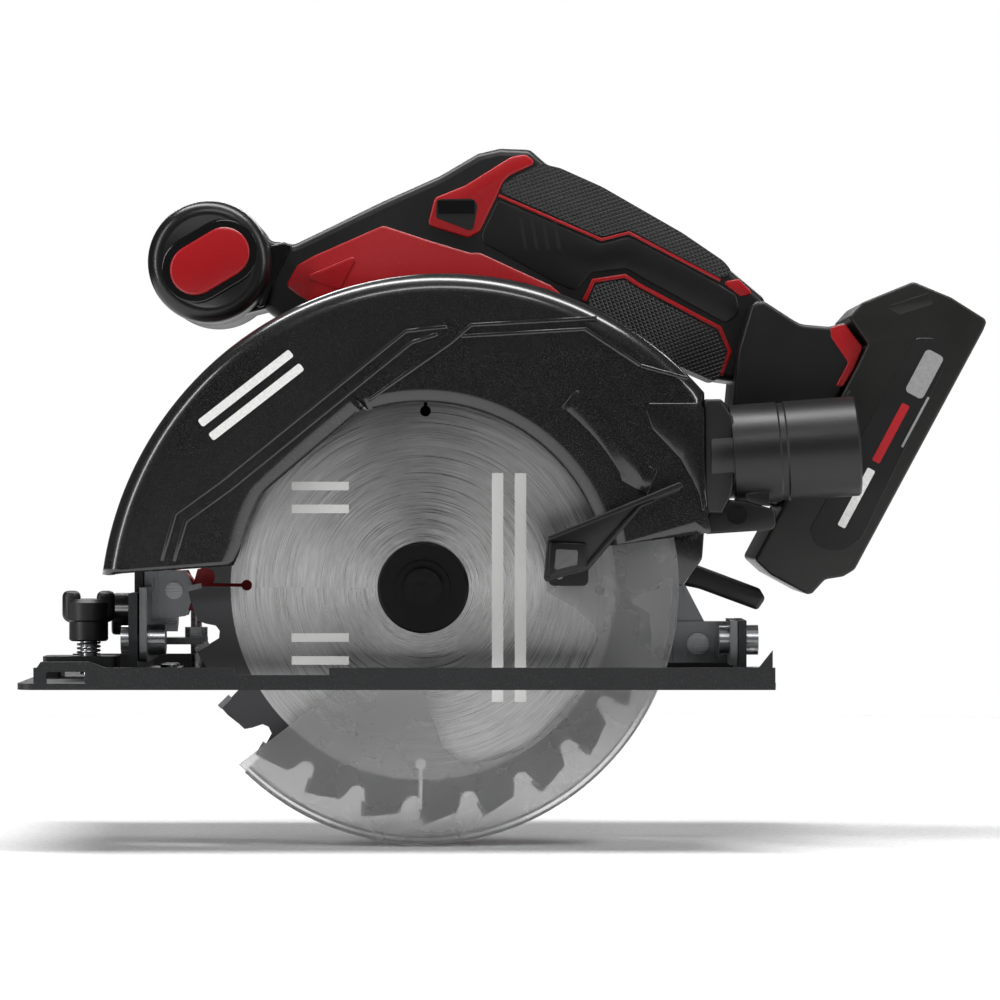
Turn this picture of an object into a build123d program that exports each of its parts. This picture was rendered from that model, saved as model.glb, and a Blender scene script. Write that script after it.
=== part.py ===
from build123d import *
import os
from math import sin, cos, tan, radians, degrees, atan2, hypot, acos, pi

# Cordless blade-left circular saw, upright on its flat base, blade at full depth.
# Frame: +X towards the rear (battery), +Y towards the motor side, +Z up, in millimetres.
# Origin: on the sole plane, straight below the blade axis, in the blade's mid-plane.

# ---------------- driving dimensions ----------------
# blade and spindle
blade_diameter = 165.1            # 6 1/2 in blade
blade_teeth = 24
blade_plate = 1.2                 # steel plate thickness
blade_kerf = 1.8                  # width of a carbide tip
blade_bore = 15.875               # 5/8 in bore
blade_height = 34.3               # blade axis above the sole at full depth
gullet_depth = 9.8
slot_hole = 3.8                   # end hole of an expansion slot
slot_reach = 61.7                 # radius of those holes
flange_diameter = 32.0
inner_flange_width = 4.0
outer_flange_width = 3.0
bolt_head_diameter = 18.8
bolt_head_height = 5.4
spindle_diameter = 10.0

# base
base_front = -138.5
base_rear = 121.4
base_left = -38.0
base_right = 108.0
base_sheet = 2.2
base_corner = 6.0
lip_height = 7.6
lip_sheet = 2.4
rivet_radius = 1.8
fence_slot_x = -121.5             # middle of the slot for the edge guide's bar
fence_slot_width = 13.3
fence_slot_height = 4.0
fence_bridge = 7.5                # height of the bridge over the bar
fence_x = -119.0                  # wing knob, clear of the guard and of the bevel knob
fence_y = 22.5
fence_screw_radius = 3.0
fence_wing = 19.0
slot_front = -82.0
slot_rear = 93.0
slot_left = -15.0
slot_right = 34.0

# tilt and depth joints
bevel_axis_height = 16.0
bevel_knob_y = 38.0
bevel_knob_z = 24.2
quadrant_x = -102.0
quadrant_sheet = 3.0
quadrant_low = 32.5               # top under the guard, clear of it when the head is up
tilt_plate_low = 34.5
pivot_pin_diameter = 6.0
depth_pivot_x = -88.0
depth_pivot_z = 33.0
depth_travel = 28.0               # degrees, full depth to nearly none
bevel_travel = 50.0
depth_lock_x = 84.0
depth_lock_z = 42.0
arm_pin_x = 96.6
arm_pin_z = 14.2
arm_width = 15.0
arm_sheet = 2.5
arm_y = 17.5
lock_bolt_diameter = 6.0
lever_y = 24.5
ear_left = 13.0                   # the two ears that hold the depth pivot
ear_right = 27.5
ear_sheet = 2.5
stop_x = -82.0                    # screw that sets the square stop of the bevel
stop_y = 40.0
stop_radius = 2.0

# upper guard
guard_radius = 119.7
guard_centre_x = 7.3
guard_centre_z = 24.1
guard_wall = 2.5
guard_left = -16.0                # outer face on the blade's open side
guard_right = 12.5
guard_shoulder = 7.0              # round of the outer edge
guard_window = 64.5               # radius of the opening round the blade hub
guard_end = 100.0                 # plane where the dust port starts
lever_left = guard_left - 3.8     # near face of the lower guard's lever
guard_screw_places = ((11.4, 76.8), (-26.4, 72.0), (-36.0, 46.0), (34.7, 49.8))
guard_screw_radius = 2.0

# lower guard
lower_guard_radius = 89.0
lower_guard_wall = 2.0
lower_guard_left = -11.0
lower_guard_right = 7.0
lower_guard_front_angle = 226.0
lower_guard_rear_angle = 378.0
guard_hub_radius = 26.0
guard_boss_radius = 19.6          # boss of the gear housing that carries the lower guard

# gears and motor
gear_module = 0.9
gear_teeth = 40
pinion_teeth = 10
gear_shift = 0.4                  # profile shift, plus on the pinion and minus on the gear
gear_backlash = 0.14
gear_width = 6.0
gear_y = 20.0
gear_cavity = 19.6
spindle_end = 31.5
bearing_outer = 12.0
rear_bearing_outer = 11.0
motor_bearing_outer = 8.0
lock_angle = 140.0                # direction of the spindle lock
lock_travel = 3.0
motor_angle = 60.0                # direction from the spindle to the motor axis
motor_housing_radius = 31.5
motor_can_radius = motor_housing_radius - 6.5   # leaves the barrel's wall and the cooling air's way
motor_front = 32.0
motor_rear = 104.0

# main housing and handle
handle_mid = 55.0                 # Y of the parting plane
handle_width = 36.0
housing_wall = 2.6
lock_x = 11.2                     # lock-off button
grip_skin = 1.4
front_grip_x = -76.5
front_grip_z = 149.5
front_grip_radius = 22.0
front_grip_half = 33.0
dock_width = 66.0
rail_x = 152.6                    # upper end of the dock face
rail_z = 112.0
housing_screw_places = ((-29, 113), (34, 164), (71, 152), (98, 138), (36, 82), (119, 112))
battery_width = 74.0
battery_slope = 62.0              # long axis of the pack above the horizontal
latch_travel = 3.0

# dust port
port_diameter = 35.0
port_wall = 2.4
port_slope = 4.2
port_mid = -1.0                   # Y of the port's axis
port_z = 80.0
port_length = 52.0
port_shoulder = 3.0               # where a hose pushed into the port stops
port_throat = 13.5                # radius of the way in from the guard
port_screw_x = 109.2
port_screw_z = 59.7

# clearances
running_fit = 0.05                # radial, pins and shafts that turn
body_gap = 0.3                    # between faces of pieces that move past each other
seat_gap = 0.02                   # radial, pieces that are fixed in a hole
motor_seat_gap = 0.1              # radial, motor barrel in the housing

# ---------------- derived values ----------------
blade_radius = blade_diameter / 2
pinion_distance = gear_module * (gear_teeth + pinion_teeth) / 2
motor_x = pinion_distance * cos(radians(motor_angle))
motor_z = blade_height + pinion_distance * sin(radians(motor_angle))
depth_radius = hypot(depth_lock_x - depth_pivot_x, depth_lock_z - depth_pivot_z)
depth_start = degrees(atan2(depth_lock_z - depth_pivot_z, depth_lock_x - depth_pivot_x))
boss_left = blade_plate / 2 + inner_flange_width + 0.5


# ---------------- small tools ----------------
def box(x0, x1, y0, y1, z0, z1):
    return Pos((x0 + x1) / 2, (y0 + y1) / 2, (z0 + z1) / 2) * Box(x1 - x0, y1 - y0, z1 - z0)


def rod_x(y, z, x0, x1, radius):
    return Pos((x0 + x1) / 2, y, z) * Rot(0, 90, 0) * Cylinder(radius, x1 - x0)


def rod_y(x, z, y0, y1, radius):
    return Pos(x, (y0 + y1) / 2, z) * Rot(90, 0, 0) * Cylinder(radius, y1 - y0)


def rod_z(x, y, z0, z1, radius):
    return Pos(x, y, (z0 + z1) / 2) * Cylinder(radius, z1 - z0)


def tube_y(x, z, y0, y1, outer, inner):
    return rod_y(x, z, y0, y1, outer) - rod_y(x, z, y0 - 1, y1 + 1, inner)


def hex_x(y, z, x0, x1, across):
    side = RegularPolygon(across / 2, 6, major_radius=False)
    return Pos(x0, y, z) * Rot(0, 90, 0) * extrude(side, amount=x1 - x0)


def hex_z(x, y, z0, z1, across):
    return Pos(x, y, z0) * extrude(RegularPolygon(across / 2, 6, major_radius=False), amount=z1 - z0)


def side_face(points, y, corner=0.0):
    # a closed outline in the XZ plane, its corners rounded
    face = Plane.XZ * make_face(Polyline(*points, close=True))
    if corner > 0:
        face = fillet(face.vertices(), corner)
    return Pos(0, y, 0) * face


def side_prism(points, y0, y1, corner=0.0):
    return extrude(side_face(points, y0, corner), amount=y1 - y0, dir=(0, 1, 0))


def end_edges(part, *places):
    # the edges of a part that lie in the given planes across Y
    found = ShapeList()
    for y in places:
        found += part.edges().filter_by_position(Axis.Y, y - 0.01, y + 0.01)
    return found


def polar(x, z, radius, angle):
    return (x + radius * cos(radians(angle)), z + radius * sin(radians(angle)))


def ring_sector(x, z, inner, outer, start, end, y0, y1):
    # a part of a ring about the Y direction, angles from +X towards +Z
    steps = max(3, int(abs(end - start) / 6))
    angles = [start + (end - start) * i / steps for i in range(steps + 1)]
    reach = outer * 1.5
    wedge = [(x, z)] + [polar(x, z, reach, a) for a in angles]
    return tube_y(x, z, y0, y1, outer, inner) & side_prism(wedge, y0 - 1, y1 + 1)


def turned(part, x, z, angle):
    # turns a part about a line along Y, from +X towards +Z
    return Pos(x, 0, z) * Rot(0, -angle, 0) * Pos(-x, 0, -z) * part


def involute_outline(teeth, shift):
    # points of a spur gear's outline, first tooth centred on +X
    pitch = gear_module * teeth / 2
    base = pitch * cos(radians(20))
    tip = pitch + gear_module * (0.92 + shift)
    root = pitch - gear_module * (1.22 - shift)
    half = (gear_module * (pi / 2 + 2 * shift * tan(radians(20))) - gear_backlash / 2) / 2 / pitch
    lift = tan(radians(20)) - radians(20)
    flank = []
    for i in range(7):
        r = max(base, root) + (tip - max(base, root)) * i / 6
        a = acos(min(1.0, base / r))
        flank.append((r, half + lift - (tan(a) - a)))
    points = []
    for k in range(teeth):
        mid = 2 * pi * k / teeth
        side = [(min(root, base), flank[0][1])] + flank
        for r, a in side:
            points.append((r * cos(mid - a), r * sin(mid - a)))
        for r, a in reversed(side):
            points.append((r * cos(mid + a), r * sin(mid + a)))
    return points


def spur_gear(x, z, teeth, shift, first, y0, y1):
    outline = [(x + px, z + pz) for px, pz in involute_outline(teeth, shift)]
    return turned(side_prism(outline, y0, y1), x, z, first)


def fuse(pieces):
    whole = pieces[0]
    for piece in pieces[1:]:
        whole = whole + piece
    return whole


nodes = {}


# ---------------- base ----------------
def base_pieces():
    plate = box(base_front, base_rear, base_left, base_right, 0, base_sheet)
    plate = fillet(plate.edges().filter_by(Axis.Z), base_corner)
    lip = box(base_front + base_corner, base_rear - 0.5, base_left, base_left + lip_sheet, 0, lip_height)
    nose = side_prism([(base_front + base_corner, 1), (base_front + base_corner, 6), (-130, 9.6), (-113.5, 9.6),
                       (-108, lip_height), (-100, 1)], base_left, base_left + lip_sheet)
    far_lip = box(base_front + base_corner, base_rear - base_corner, base_right - lip_sheet, base_right,
                  0, lip_height)
    plate = plate + lip + nose + far_lip
    plate -= box(-64, -31.5, base_left - 1, base_left + lip_sheet + 0.1, 5.1, 20)
    plate -= box(slot_front, slot_rear, slot_left, slot_right, -1, 20)
    plate -= box(fence_slot_x - fence_slot_width / 2, fence_slot_x + fence_slot_width / 2, base_left - 1,
                 base_left + lip_sheet + 1, base_sheet, base_sheet + fence_slot_height)
    corner = side_prism([(111, base_sheet), (120, base_sheet), (120, 13.5)], base_left + 0.2, base_left + 2.2)
    nodes["base_plate"] = plate + corner

    x0, x1 = quadrant_x, quadrant_x + quadrant_sheet
    quadrant = Pos(x0, 0, 0) * extrude(
        Plane.YZ * make_face(Polyline((-12, base_sheet), (62, base_sheet), (62, 8), (50, 30), (30, 36),
                                      (10, 34), (-12, 26), close=True)), amount=quadrant_sheet)
    track = hypot(bevel_knob_y, bevel_knob_z - bevel_axis_height)
    start = degrees(atan2(bevel_knob_z - bevel_axis_height, bevel_knob_y))
    # the top rises in an arc that holds the whole slot of the locking bolt
    arch = rod_x(0, bevel_axis_height, x0, x1, track + 8)
    quadrant += arch & box(x0, x1, -14, track + 9, bevel_axis_height, 80)
    for i in range(11):
        a = radians(start + bevel_travel * i / 10)
        quadrant -= rod_x(track * cos(a), bevel_axis_height + track * sin(a), x0 - 1, x1 + 1,
                          lock_bolt_diameter / 2 + 0.4)
    quadrant -= box(x0 - 1, x1 + 1, -20, guard_right + body_gap, quadrant_low, 80)
    quadrant -= rod_x(0, bevel_axis_height, x0 - 1, x1 + 1, pivot_pin_diameter / 2 + running_fit)
    nodes["bevel_quadrant"] = quadrant + box(x0, -88, 36, 62, base_sheet, base_sheet + 2.5)

    bracket = box(109.7, 112.5, -11, 24, base_sheet, 23)
    bracket += box(112.4, 119, -11, 24, base_sheet, base_sheet + 2.5)
    bracket = bracket - rod_x(0, bevel_axis_height, 105, 118, pivot_pin_diameter / 2 + running_fit)
    nodes["rear_bevel_bracket"] = bracket

    rivets = []
    for x, y, top in ((-92, 42, 4.7), (-92, 56, 4.7), (115.8, -5, 4.7), (115.8, 18, 4.7)):
        shank = rod_z(x, y, 0.3, top, rivet_radius)
        rivets.append(shank + rod_z(x, y, top, top + 1.2, 3.0))
        nodes["base_plate"] -= rod_z(x, y, -1, base_sheet + 1, rivet_radius + seat_gap)
        for name in ("bevel_quadrant", "rear_bevel_bracket"):
            nodes[name] -= rod_z(x, y, 1, top + 0.01, rivet_radius + seat_gap)
    nodes["base_rivets"] = Compound(children=rivets)


def fence_pieces():
    x, y = fence_x, fence_y
    half = fence_slot_width / 2
    top = base_sheet + fence_bridge
    bridge = box(fence_slot_x - 13, fence_slot_x + 13, y - 9, y + 9, base_sheet, top)
    bridge -= box(fence_slot_x - half, fence_slot_x + half, y - 10, y + 10,
                  base_sheet - 1, base_sheet + fence_slot_height)
    bridge -= rod_z(x, y, 0, 20, fence_screw_radius + running_fit)
    nodes["fence_clamp_bridge"] = fillet(bridge.edges().filter_by(Axis.Z), 1.5)
    wire_radius = 0.45
    coil = Helix(pitch=1.7, height=3.4, radius=3.9)
    wire = sweep(Plane(coil @ 0, z_dir=coil % 0) * Circle(wire_radius), path=coil, is_frenet=True)
    nodes["fence_spring"] = Pos(x, y, top + wire_radius + seat_gap) * wire
    nodes["fence_screw"] = rod_z(x, y, base_sheet + 1.0, 29, fence_screw_radius)
    hub = rod_z(x, y, 14.8, 22.5, 7.0) + rod_z(x, y, 22.0, 30.0, 8.0)
    wing = box(x - fence_wing / 2, x + fence_wing / 2, y - 4.5, y + 4.5, 21.7, 33.0)
    wing = fillet(wing.edges(), 2.5)
    nodes["fence_knob"] = hub + wing - rod_z(x, y, 10, 29.0, fence_screw_radius + seat_gap)


# ---------------- tilt frame ----------------
def tilt_pieces():
    hole = rod_x(0, bevel_axis_height, -110, 120, pivot_pin_diameter / 2 + seat_gap)
    bolt_hole = rod_x(bevel_knob_y, bevel_knob_z, -99, -90, lock_bolt_diameter / 2 + seat_gap)
    front = box(-98.4, -95.9, -11, 46, 8.5, 40)
    front = fillet(front.edges().filter_by(Axis.X), 4)
    ears = []
    for y0 in (ear_left, ear_right):
        ear = side_prism([(-98.4, 22), (-84, 24), (-80.5, 33), (-84, 40), (-98.4, 40)], y0, y0 + ear_sheet)
        ears.append(ear)
    shelf = box(-98.4, -78.2, 34.2, 46, 13.3, 15.7)
    front = front + ears[0] + ears[1] + shelf - hole - bolt_hole
    front -= box(-99, -95, -20, guard_right + body_gap, tilt_plate_low, 50)
    front -= rod_y(depth_pivot_x, depth_pivot_z, 10, 60, pivot_pin_diameter / 2 + seat_gap)
    front -= rod_z(stop_x, stop_y, 10, 18, stop_radius + seat_gap)
    nodes["front_tilt_bracket"] = front

    y0, y1 = arm_y - arm_sheet, arm_y + arm_sheet
    rear = box(106.9, 109.4, -10.5, 24, 7.5, 23)
    rear += box(86, 107, arm_y + arm_sheet, arm_y + arm_sheet + 2.5, 7.5, 22)
    rear += box(86, 107, arm_y - 2.5, arm_y, 7.5, 22)
    rear = rear - hole - rod_y(arm_pin_x, arm_pin_z, y0 - 5, y1 + 5, pivot_pin_diameter / 2 + seat_gap)
    nodes["rear_tilt_bracket"] = rear

    radius = pivot_pin_diameter / 2
    front_pin = rod_x(0, bevel_axis_height, -104.5, -93, radius) + rod_x(0, bevel_axis_height, -95.9, -90, 5.4)
    front_pin += rod_x(0, bevel_axis_height, -105.5, -102.3, 5.0)
    rear_pin = rod_x(0, bevel_axis_height, 104, 114, radius) + rod_x(0, bevel_axis_height, 112.8, 117, 5.2)
    rear_pin += rod_x(0, bevel_axis_height, 103.4, 106.9, 5.0)
    nodes["bevel_pivot_pins"] = Compound(children=[front_pin, rear_pin])

    pin = rod_y(depth_pivot_x, depth_pivot_z, ear_left - 1, ear_right + ear_sheet + 1, radius)
    pin += rod_y(depth_pivot_x, depth_pivot_z, ear_right + ear_sheet, ear_right + ear_sheet + 2, radius + 1.8)
    nodes["depth_pivot_pin"] = pin

    # curved arm about the depth pivot, its foot on the rear pin
    half = arm_width / 2
    end = depth_start + depth_travel
    band = ring_sector(depth_pivot_x, depth_pivot_z, depth_radius - half, depth_radius + half,
                       depth_start - 2, end + 1.2, arm_y, arm_y + arm_sheet)
    tipx, tipz = polar(depth_pivot_x, depth_pivot_z, depth_radius, end + 1.2)
    band += rod_y(tipx, tipz, arm_y, arm_y + arm_sheet, half)
    fx, fz = polar(depth_pivot_x, depth_pivot_z, depth_radius - half, depth_start - 2)
    gx, gz = polar(depth_pivot_x, depth_pivot_z, depth_radius + half, depth_start - 2)
    leg = side_prism([(fx, fz), (gx, gz), (arm_pin_x + 6, arm_pin_z + 1), (arm_pin_x - 6, arm_pin_z - 1)],
                     arm_y, arm_y + arm_sheet)
    leg += rod_y(arm_pin_x, arm_pin_z, arm_y, arm_y + arm_sheet, 6.2)
    clear = lock_bolt_diameter / 2 + body_gap
    slot = ring_sector(depth_pivot_x, depth_pivot_z, depth_radius - clear, depth_radius + clear,
                       depth_start, end, arm_y - 1, arm_y + arm_sheet + 1)
    for a in (depth_start, end):
        sx, sz = polar(depth_pivot_x, depth_pivot_z, depth_radius, a)
        slot += rod_y(sx, sz, arm_y - 1, arm_y + arm_sheet + 1, clear + 0.1)
    arm = band + leg - slot - rod_y(arm_pin_x, arm_pin_z, 0, 40, radius + seat_gap)
    nodes["depth_arm"] = arm
    pin = rod_y(arm_pin_x, arm_pin_z, arm_y - 4, arm_y + arm_sheet + 4, radius)
    pin += rod_y(arm_pin_x, arm_pin_z, arm_y - 5.2, arm_y - 2.5, radius + 0.8)
    nodes["depth_arm_pin"] = pin

    screw = rod_z(stop_x, stop_y, base_sheet + body_gap, 28.6, stop_radius)
    nut = hex_z(stop_x, stop_y, 15.7, 19.4, 7.0) - rod_z(stop_x, stop_y, 10, 30, stop_radius + seat_gap)
    nodes["stop_screw"] = Compound(children=[screw, nut])

    bolt = rod_x(bevel_knob_y, bevel_knob_z, -111, -93, lock_bolt_diameter / 2)
    bolt += hex_x(bevel_knob_y, bevel_knob_z, -95.9, -88.5, 11.0)
    nodes["bevel_lock_bolt"] = bolt
    knob = rod_x(bevel_knob_y, bevel_knob_z, -112, -102.3, 8.4)
    for i in range(6):
        a = radians(60 * i)
        knob -= rod_x(bevel_knob_y + 10.4 * cos(a), bevel_knob_z + 10.4 * sin(a), -113, -104.6, 3.2)
    nodes["bevel_knob"] = knob - rod_x(bevel_knob_y, bevel_knob_z, -111.1, -100,
                                       lock_bolt_diameter / 2 + running_fit)


# ---------------- blade, spindle, gears ----------------
def spindle_pieces():
    z = blade_height
    half = blade_plate / 2
    pitch = 360 / blade_teeth
    outline = []
    for k in range(blade_teeth):
        tip = 0.8 + pitch * k
        for r, a in ((blade_radius - 9.0, tip - 1.9), (blade_radius - 0.4, tip), (blade_radius - 1.0, tip + 2.4),
                     (blade_radius - 2.4, tip + 5.6), (blade_radius - 2.9, tip + 7.6),
                     (blade_radius - 5.4, tip + 8.6), (blade_radius - 8.8, tip + 9.6),
                     (blade_radius - gullet_depth, tip + 11.2)):
            outline.append(polar(0, z, r, a))
    plate = side_prism(outline, -half, half)
    plate -= rod_y(0, z, -2, 2, blade_bore / 2)
    tips = []
    for k in range(blade_teeth):
        tip = turned(box(blade_radius - 5.2, blade_radius, -blade_kerf / 2, blade_kerf / 2,
                         z - 0.9, z + 0.9), blade_radius, z, 14)
        tip = turned(tip, 0, z, 0.8 + pitch * k - 0.4)
        tips.append(tip)
        plate -= tip
    for k in range(4):
        cut = box(slot_reach, blade_radius, -2, 2, z - 0.6, z + 0.6)
        cut += rod_y(slot_reach, z, -2, 2, slot_hole / 2)
        plate -= turned(cut, 0, z, 90 * k - 0.75)
    nodes["saw_blade"] = plate
    nodes["carbide_tips"] = Compound(children=tips)

    radius = flange_diameter / 2
    inner_end = half + inner_flange_width
    inner = rod_y(0, z, half, inner_end, radius) + rod_y(0, z, -half + 0.1, half, blade_bore / 2 - seat_gap)
    nodes["inner_flange"] = inner - rod_y(0, z, -5, 9, spindle_diameter / 2 + seat_gap)
    outer = rod_y(0, z, -half - outer_flange_width, -half, radius)
    outer = fillet(end_edges(outer, -half - outer_flange_width), 1.0)
    outer -= rod_y(0, z, -9, 0, 3.2)
    nodes["outer_flange"] = outer
    face = -half - outer_flange_width
    bolt = rod_y(0, z, face - 1.6, face, bolt_head_diameter / 2)
    bolt += rod_y(0, z, face - bolt_head_height, face, 6.7)
    socket = extrude(Pos(0, face - bolt_head_height - 0.1, z) * Plane.XZ *
                     RegularPolygon(2.5, 6, major_radius=False), amount=4, dir=(0, 1, 0))
    nodes["blade_bolt"] = bolt + rod_y(0, z, face, 8, 3.0) - socket
    shaft = rod_y(0, z, -half + 0.1, spindle_end, spindle_diameter / 2)
    shaft += rod_y(0, z, inner_end, boss_left + 1.0, 6.2)
    nodes["spindle"] = shaft - rod_y(0, z, -5, 8.1, 3.0 + seat_gap)

    gear = spur_gear(0, z, gear_teeth, -gear_shift, motor_angle, gear_y, gear_y + gear_width)
    nodes["output_gear"] = gear - rod_y(0, z, 0, 60, spindle_diameter / 2 + seat_gap)
    first = motor_angle + 180 + 180 / pinion_teeth
    pinion = spur_gear(motor_x, motor_z, pinion_teeth, gear_shift, first, gear_y - 0.5,
                       gear_y + gear_width + 1.5)
    nodes["pinion"] = pinion - rod_y(motor_x, motor_z, 0, 60, 2.0 + seat_gap)

    rotor = rod_y(motor_x, motor_z, gear_y - 1, motor_rear - 4, 2.0)
    rotor += rod_y(motor_x, motor_z, gear_y + gear_width + 1.5, motor_rear - 4, 2.5)
    rotor += rod_y(motor_x, motor_z, motor_front + 22, motor_rear - 32, 16.0)
    rotor += rod_y(motor_x, motor_z, motor_rear - 32, motor_rear - 18, 8.5)
    for k in range(10):
        rotor -= turned(box(motor_x + 13.0, motor_x + 17, motor_front + 20, motor_rear - 31,
                            motor_z - 1.1, motor_z + 1.1), motor_x, motor_z, 36 * k)
    nodes["rotor"] = rotor
    fan = tube_y(motor_x, motor_z, motor_front + 9, motor_front + 17, 6.0, 2.5 + seat_gap)
    fan += tube_y(motor_x, motor_z, motor_front + 9, motor_front + 10.5, 22.0, 2.5 + seat_gap)
    for k in range(9):
        blade = box(motor_x + 5, motor_x + 21.5, motor_front + 10, motor_front + 16,
                    motor_z - 0.7, motor_z + 0.7)
        fan += turned(blade, motor_x, motor_z, 40 * k)
    nodes["cooling_fan"] = fan


# ---------------- lower guard ----------------
def lower_guard_pieces():
    z = blade_height
    outer, wall = lower_guard_radius, lower_guard_wall
    a0, a1 = lower_guard_front_angle, lower_guard_rear_angle
    rim = ring_sector(0, z, outer - wall, outer, a0, a1, lower_guard_left, lower_guard_right)
    far = ring_sector(0, z, guard_hub_radius - 4, outer - 0.5, a0, a1, lower_guard_right - wall, lower_guard_right)
    hub = tube_y(0, z, lower_guard_right - wall, lower_guard_right + 2.5, guard_hub_radius,
                 guard_boss_radius + body_gap)
    # the near wall, its free edge cut back round the blade bolt
    contour = [(-68, -34), (-64, -27), (-30, -1), (-8, 5.2), (0, -1.4), (4, -12.5), (7, -21), (14.7, -27.5),
               (25, -25.4), (36, -21), (48.7, -8.4), (55, -1.4), (57, 6.6), (61, 16.3), (59.5, 21.5),
               (53, 27.4), (43, 33), (44, 44), (72, 56), (98, 62), (120, -30), (60, -90), (-40, -90)]
    near = rod_y(0, z, lower_guard_left, lower_guard_left + wall, outer - 0.5)
    near &= side_prism(contour, lower_guard_left - 1, lower_guard_left + wall + 1)
    nodes["lower_guard"] = fuse([rim, far, hub, near])

    root = box(43.5, 57.5, lever_left, lower_guard_left, 35, 49)
    root = fillet(root.edges().filter_by(Axis.Y), 2)
    web = side_prism([(41.5, 36), (43, 52.5), (88, 71.0), (90, 68.5), (80, 64.5), (57, 40)],
                     lever_left, lever_left + 2.2, 0.8)
    ledge = side_prism([(42.5, 50), (43.5, 52.5), (89, 71.4), (90.5, 69.2)], lever_left - 6, lever_left + 2.2)
    nodes["guard_lever"] = root + web + ledge
    screws = []
    for x, sz in ((47.3, 39), (53.5, 45)):
        screw = rod_y(x, sz, lower_guard_left - 9.5, lower_guard_left + wall, 1.5)
        screws.append(screw + rod_y(x, sz, lower_guard_left + wall, lower_guard_left + wall + 1.4, 3.0))
        nodes["guard_lever"] -= rod_y(x, sz, lower_guard_left - 9.6, 0, 1.5 + seat_gap)
        nodes["lower_guard"] -= rod_y(x, sz, lower_guard_left - 1, lower_guard_left + wall, 1.5 + seat_gap)
    nodes["guard_lever_screws"] = Compound(children=screws)
    coil = tube_y(0, z, lower_guard_right + 3.0, lower_guard_right + 4.2, 23.0, guard_boss_radius + seat_gap)
    nodes["guard_spring"] = coil + box(22, 27, lower_guard_right + 3.0, lower_guard_right + 4.2, z - 0.6, z + 0.6)


# ---------------- upper guard and gear housing ----------------
def lock_rod(r0, r1, radius):
    # a rod along the line of the spindle lock, r0 and r1 from the blade axis
    return turned(rod_x(gear_y + gear_width / 2, blade_height, r0, r1, radius), 0, blade_height, lock_angle)


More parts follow.
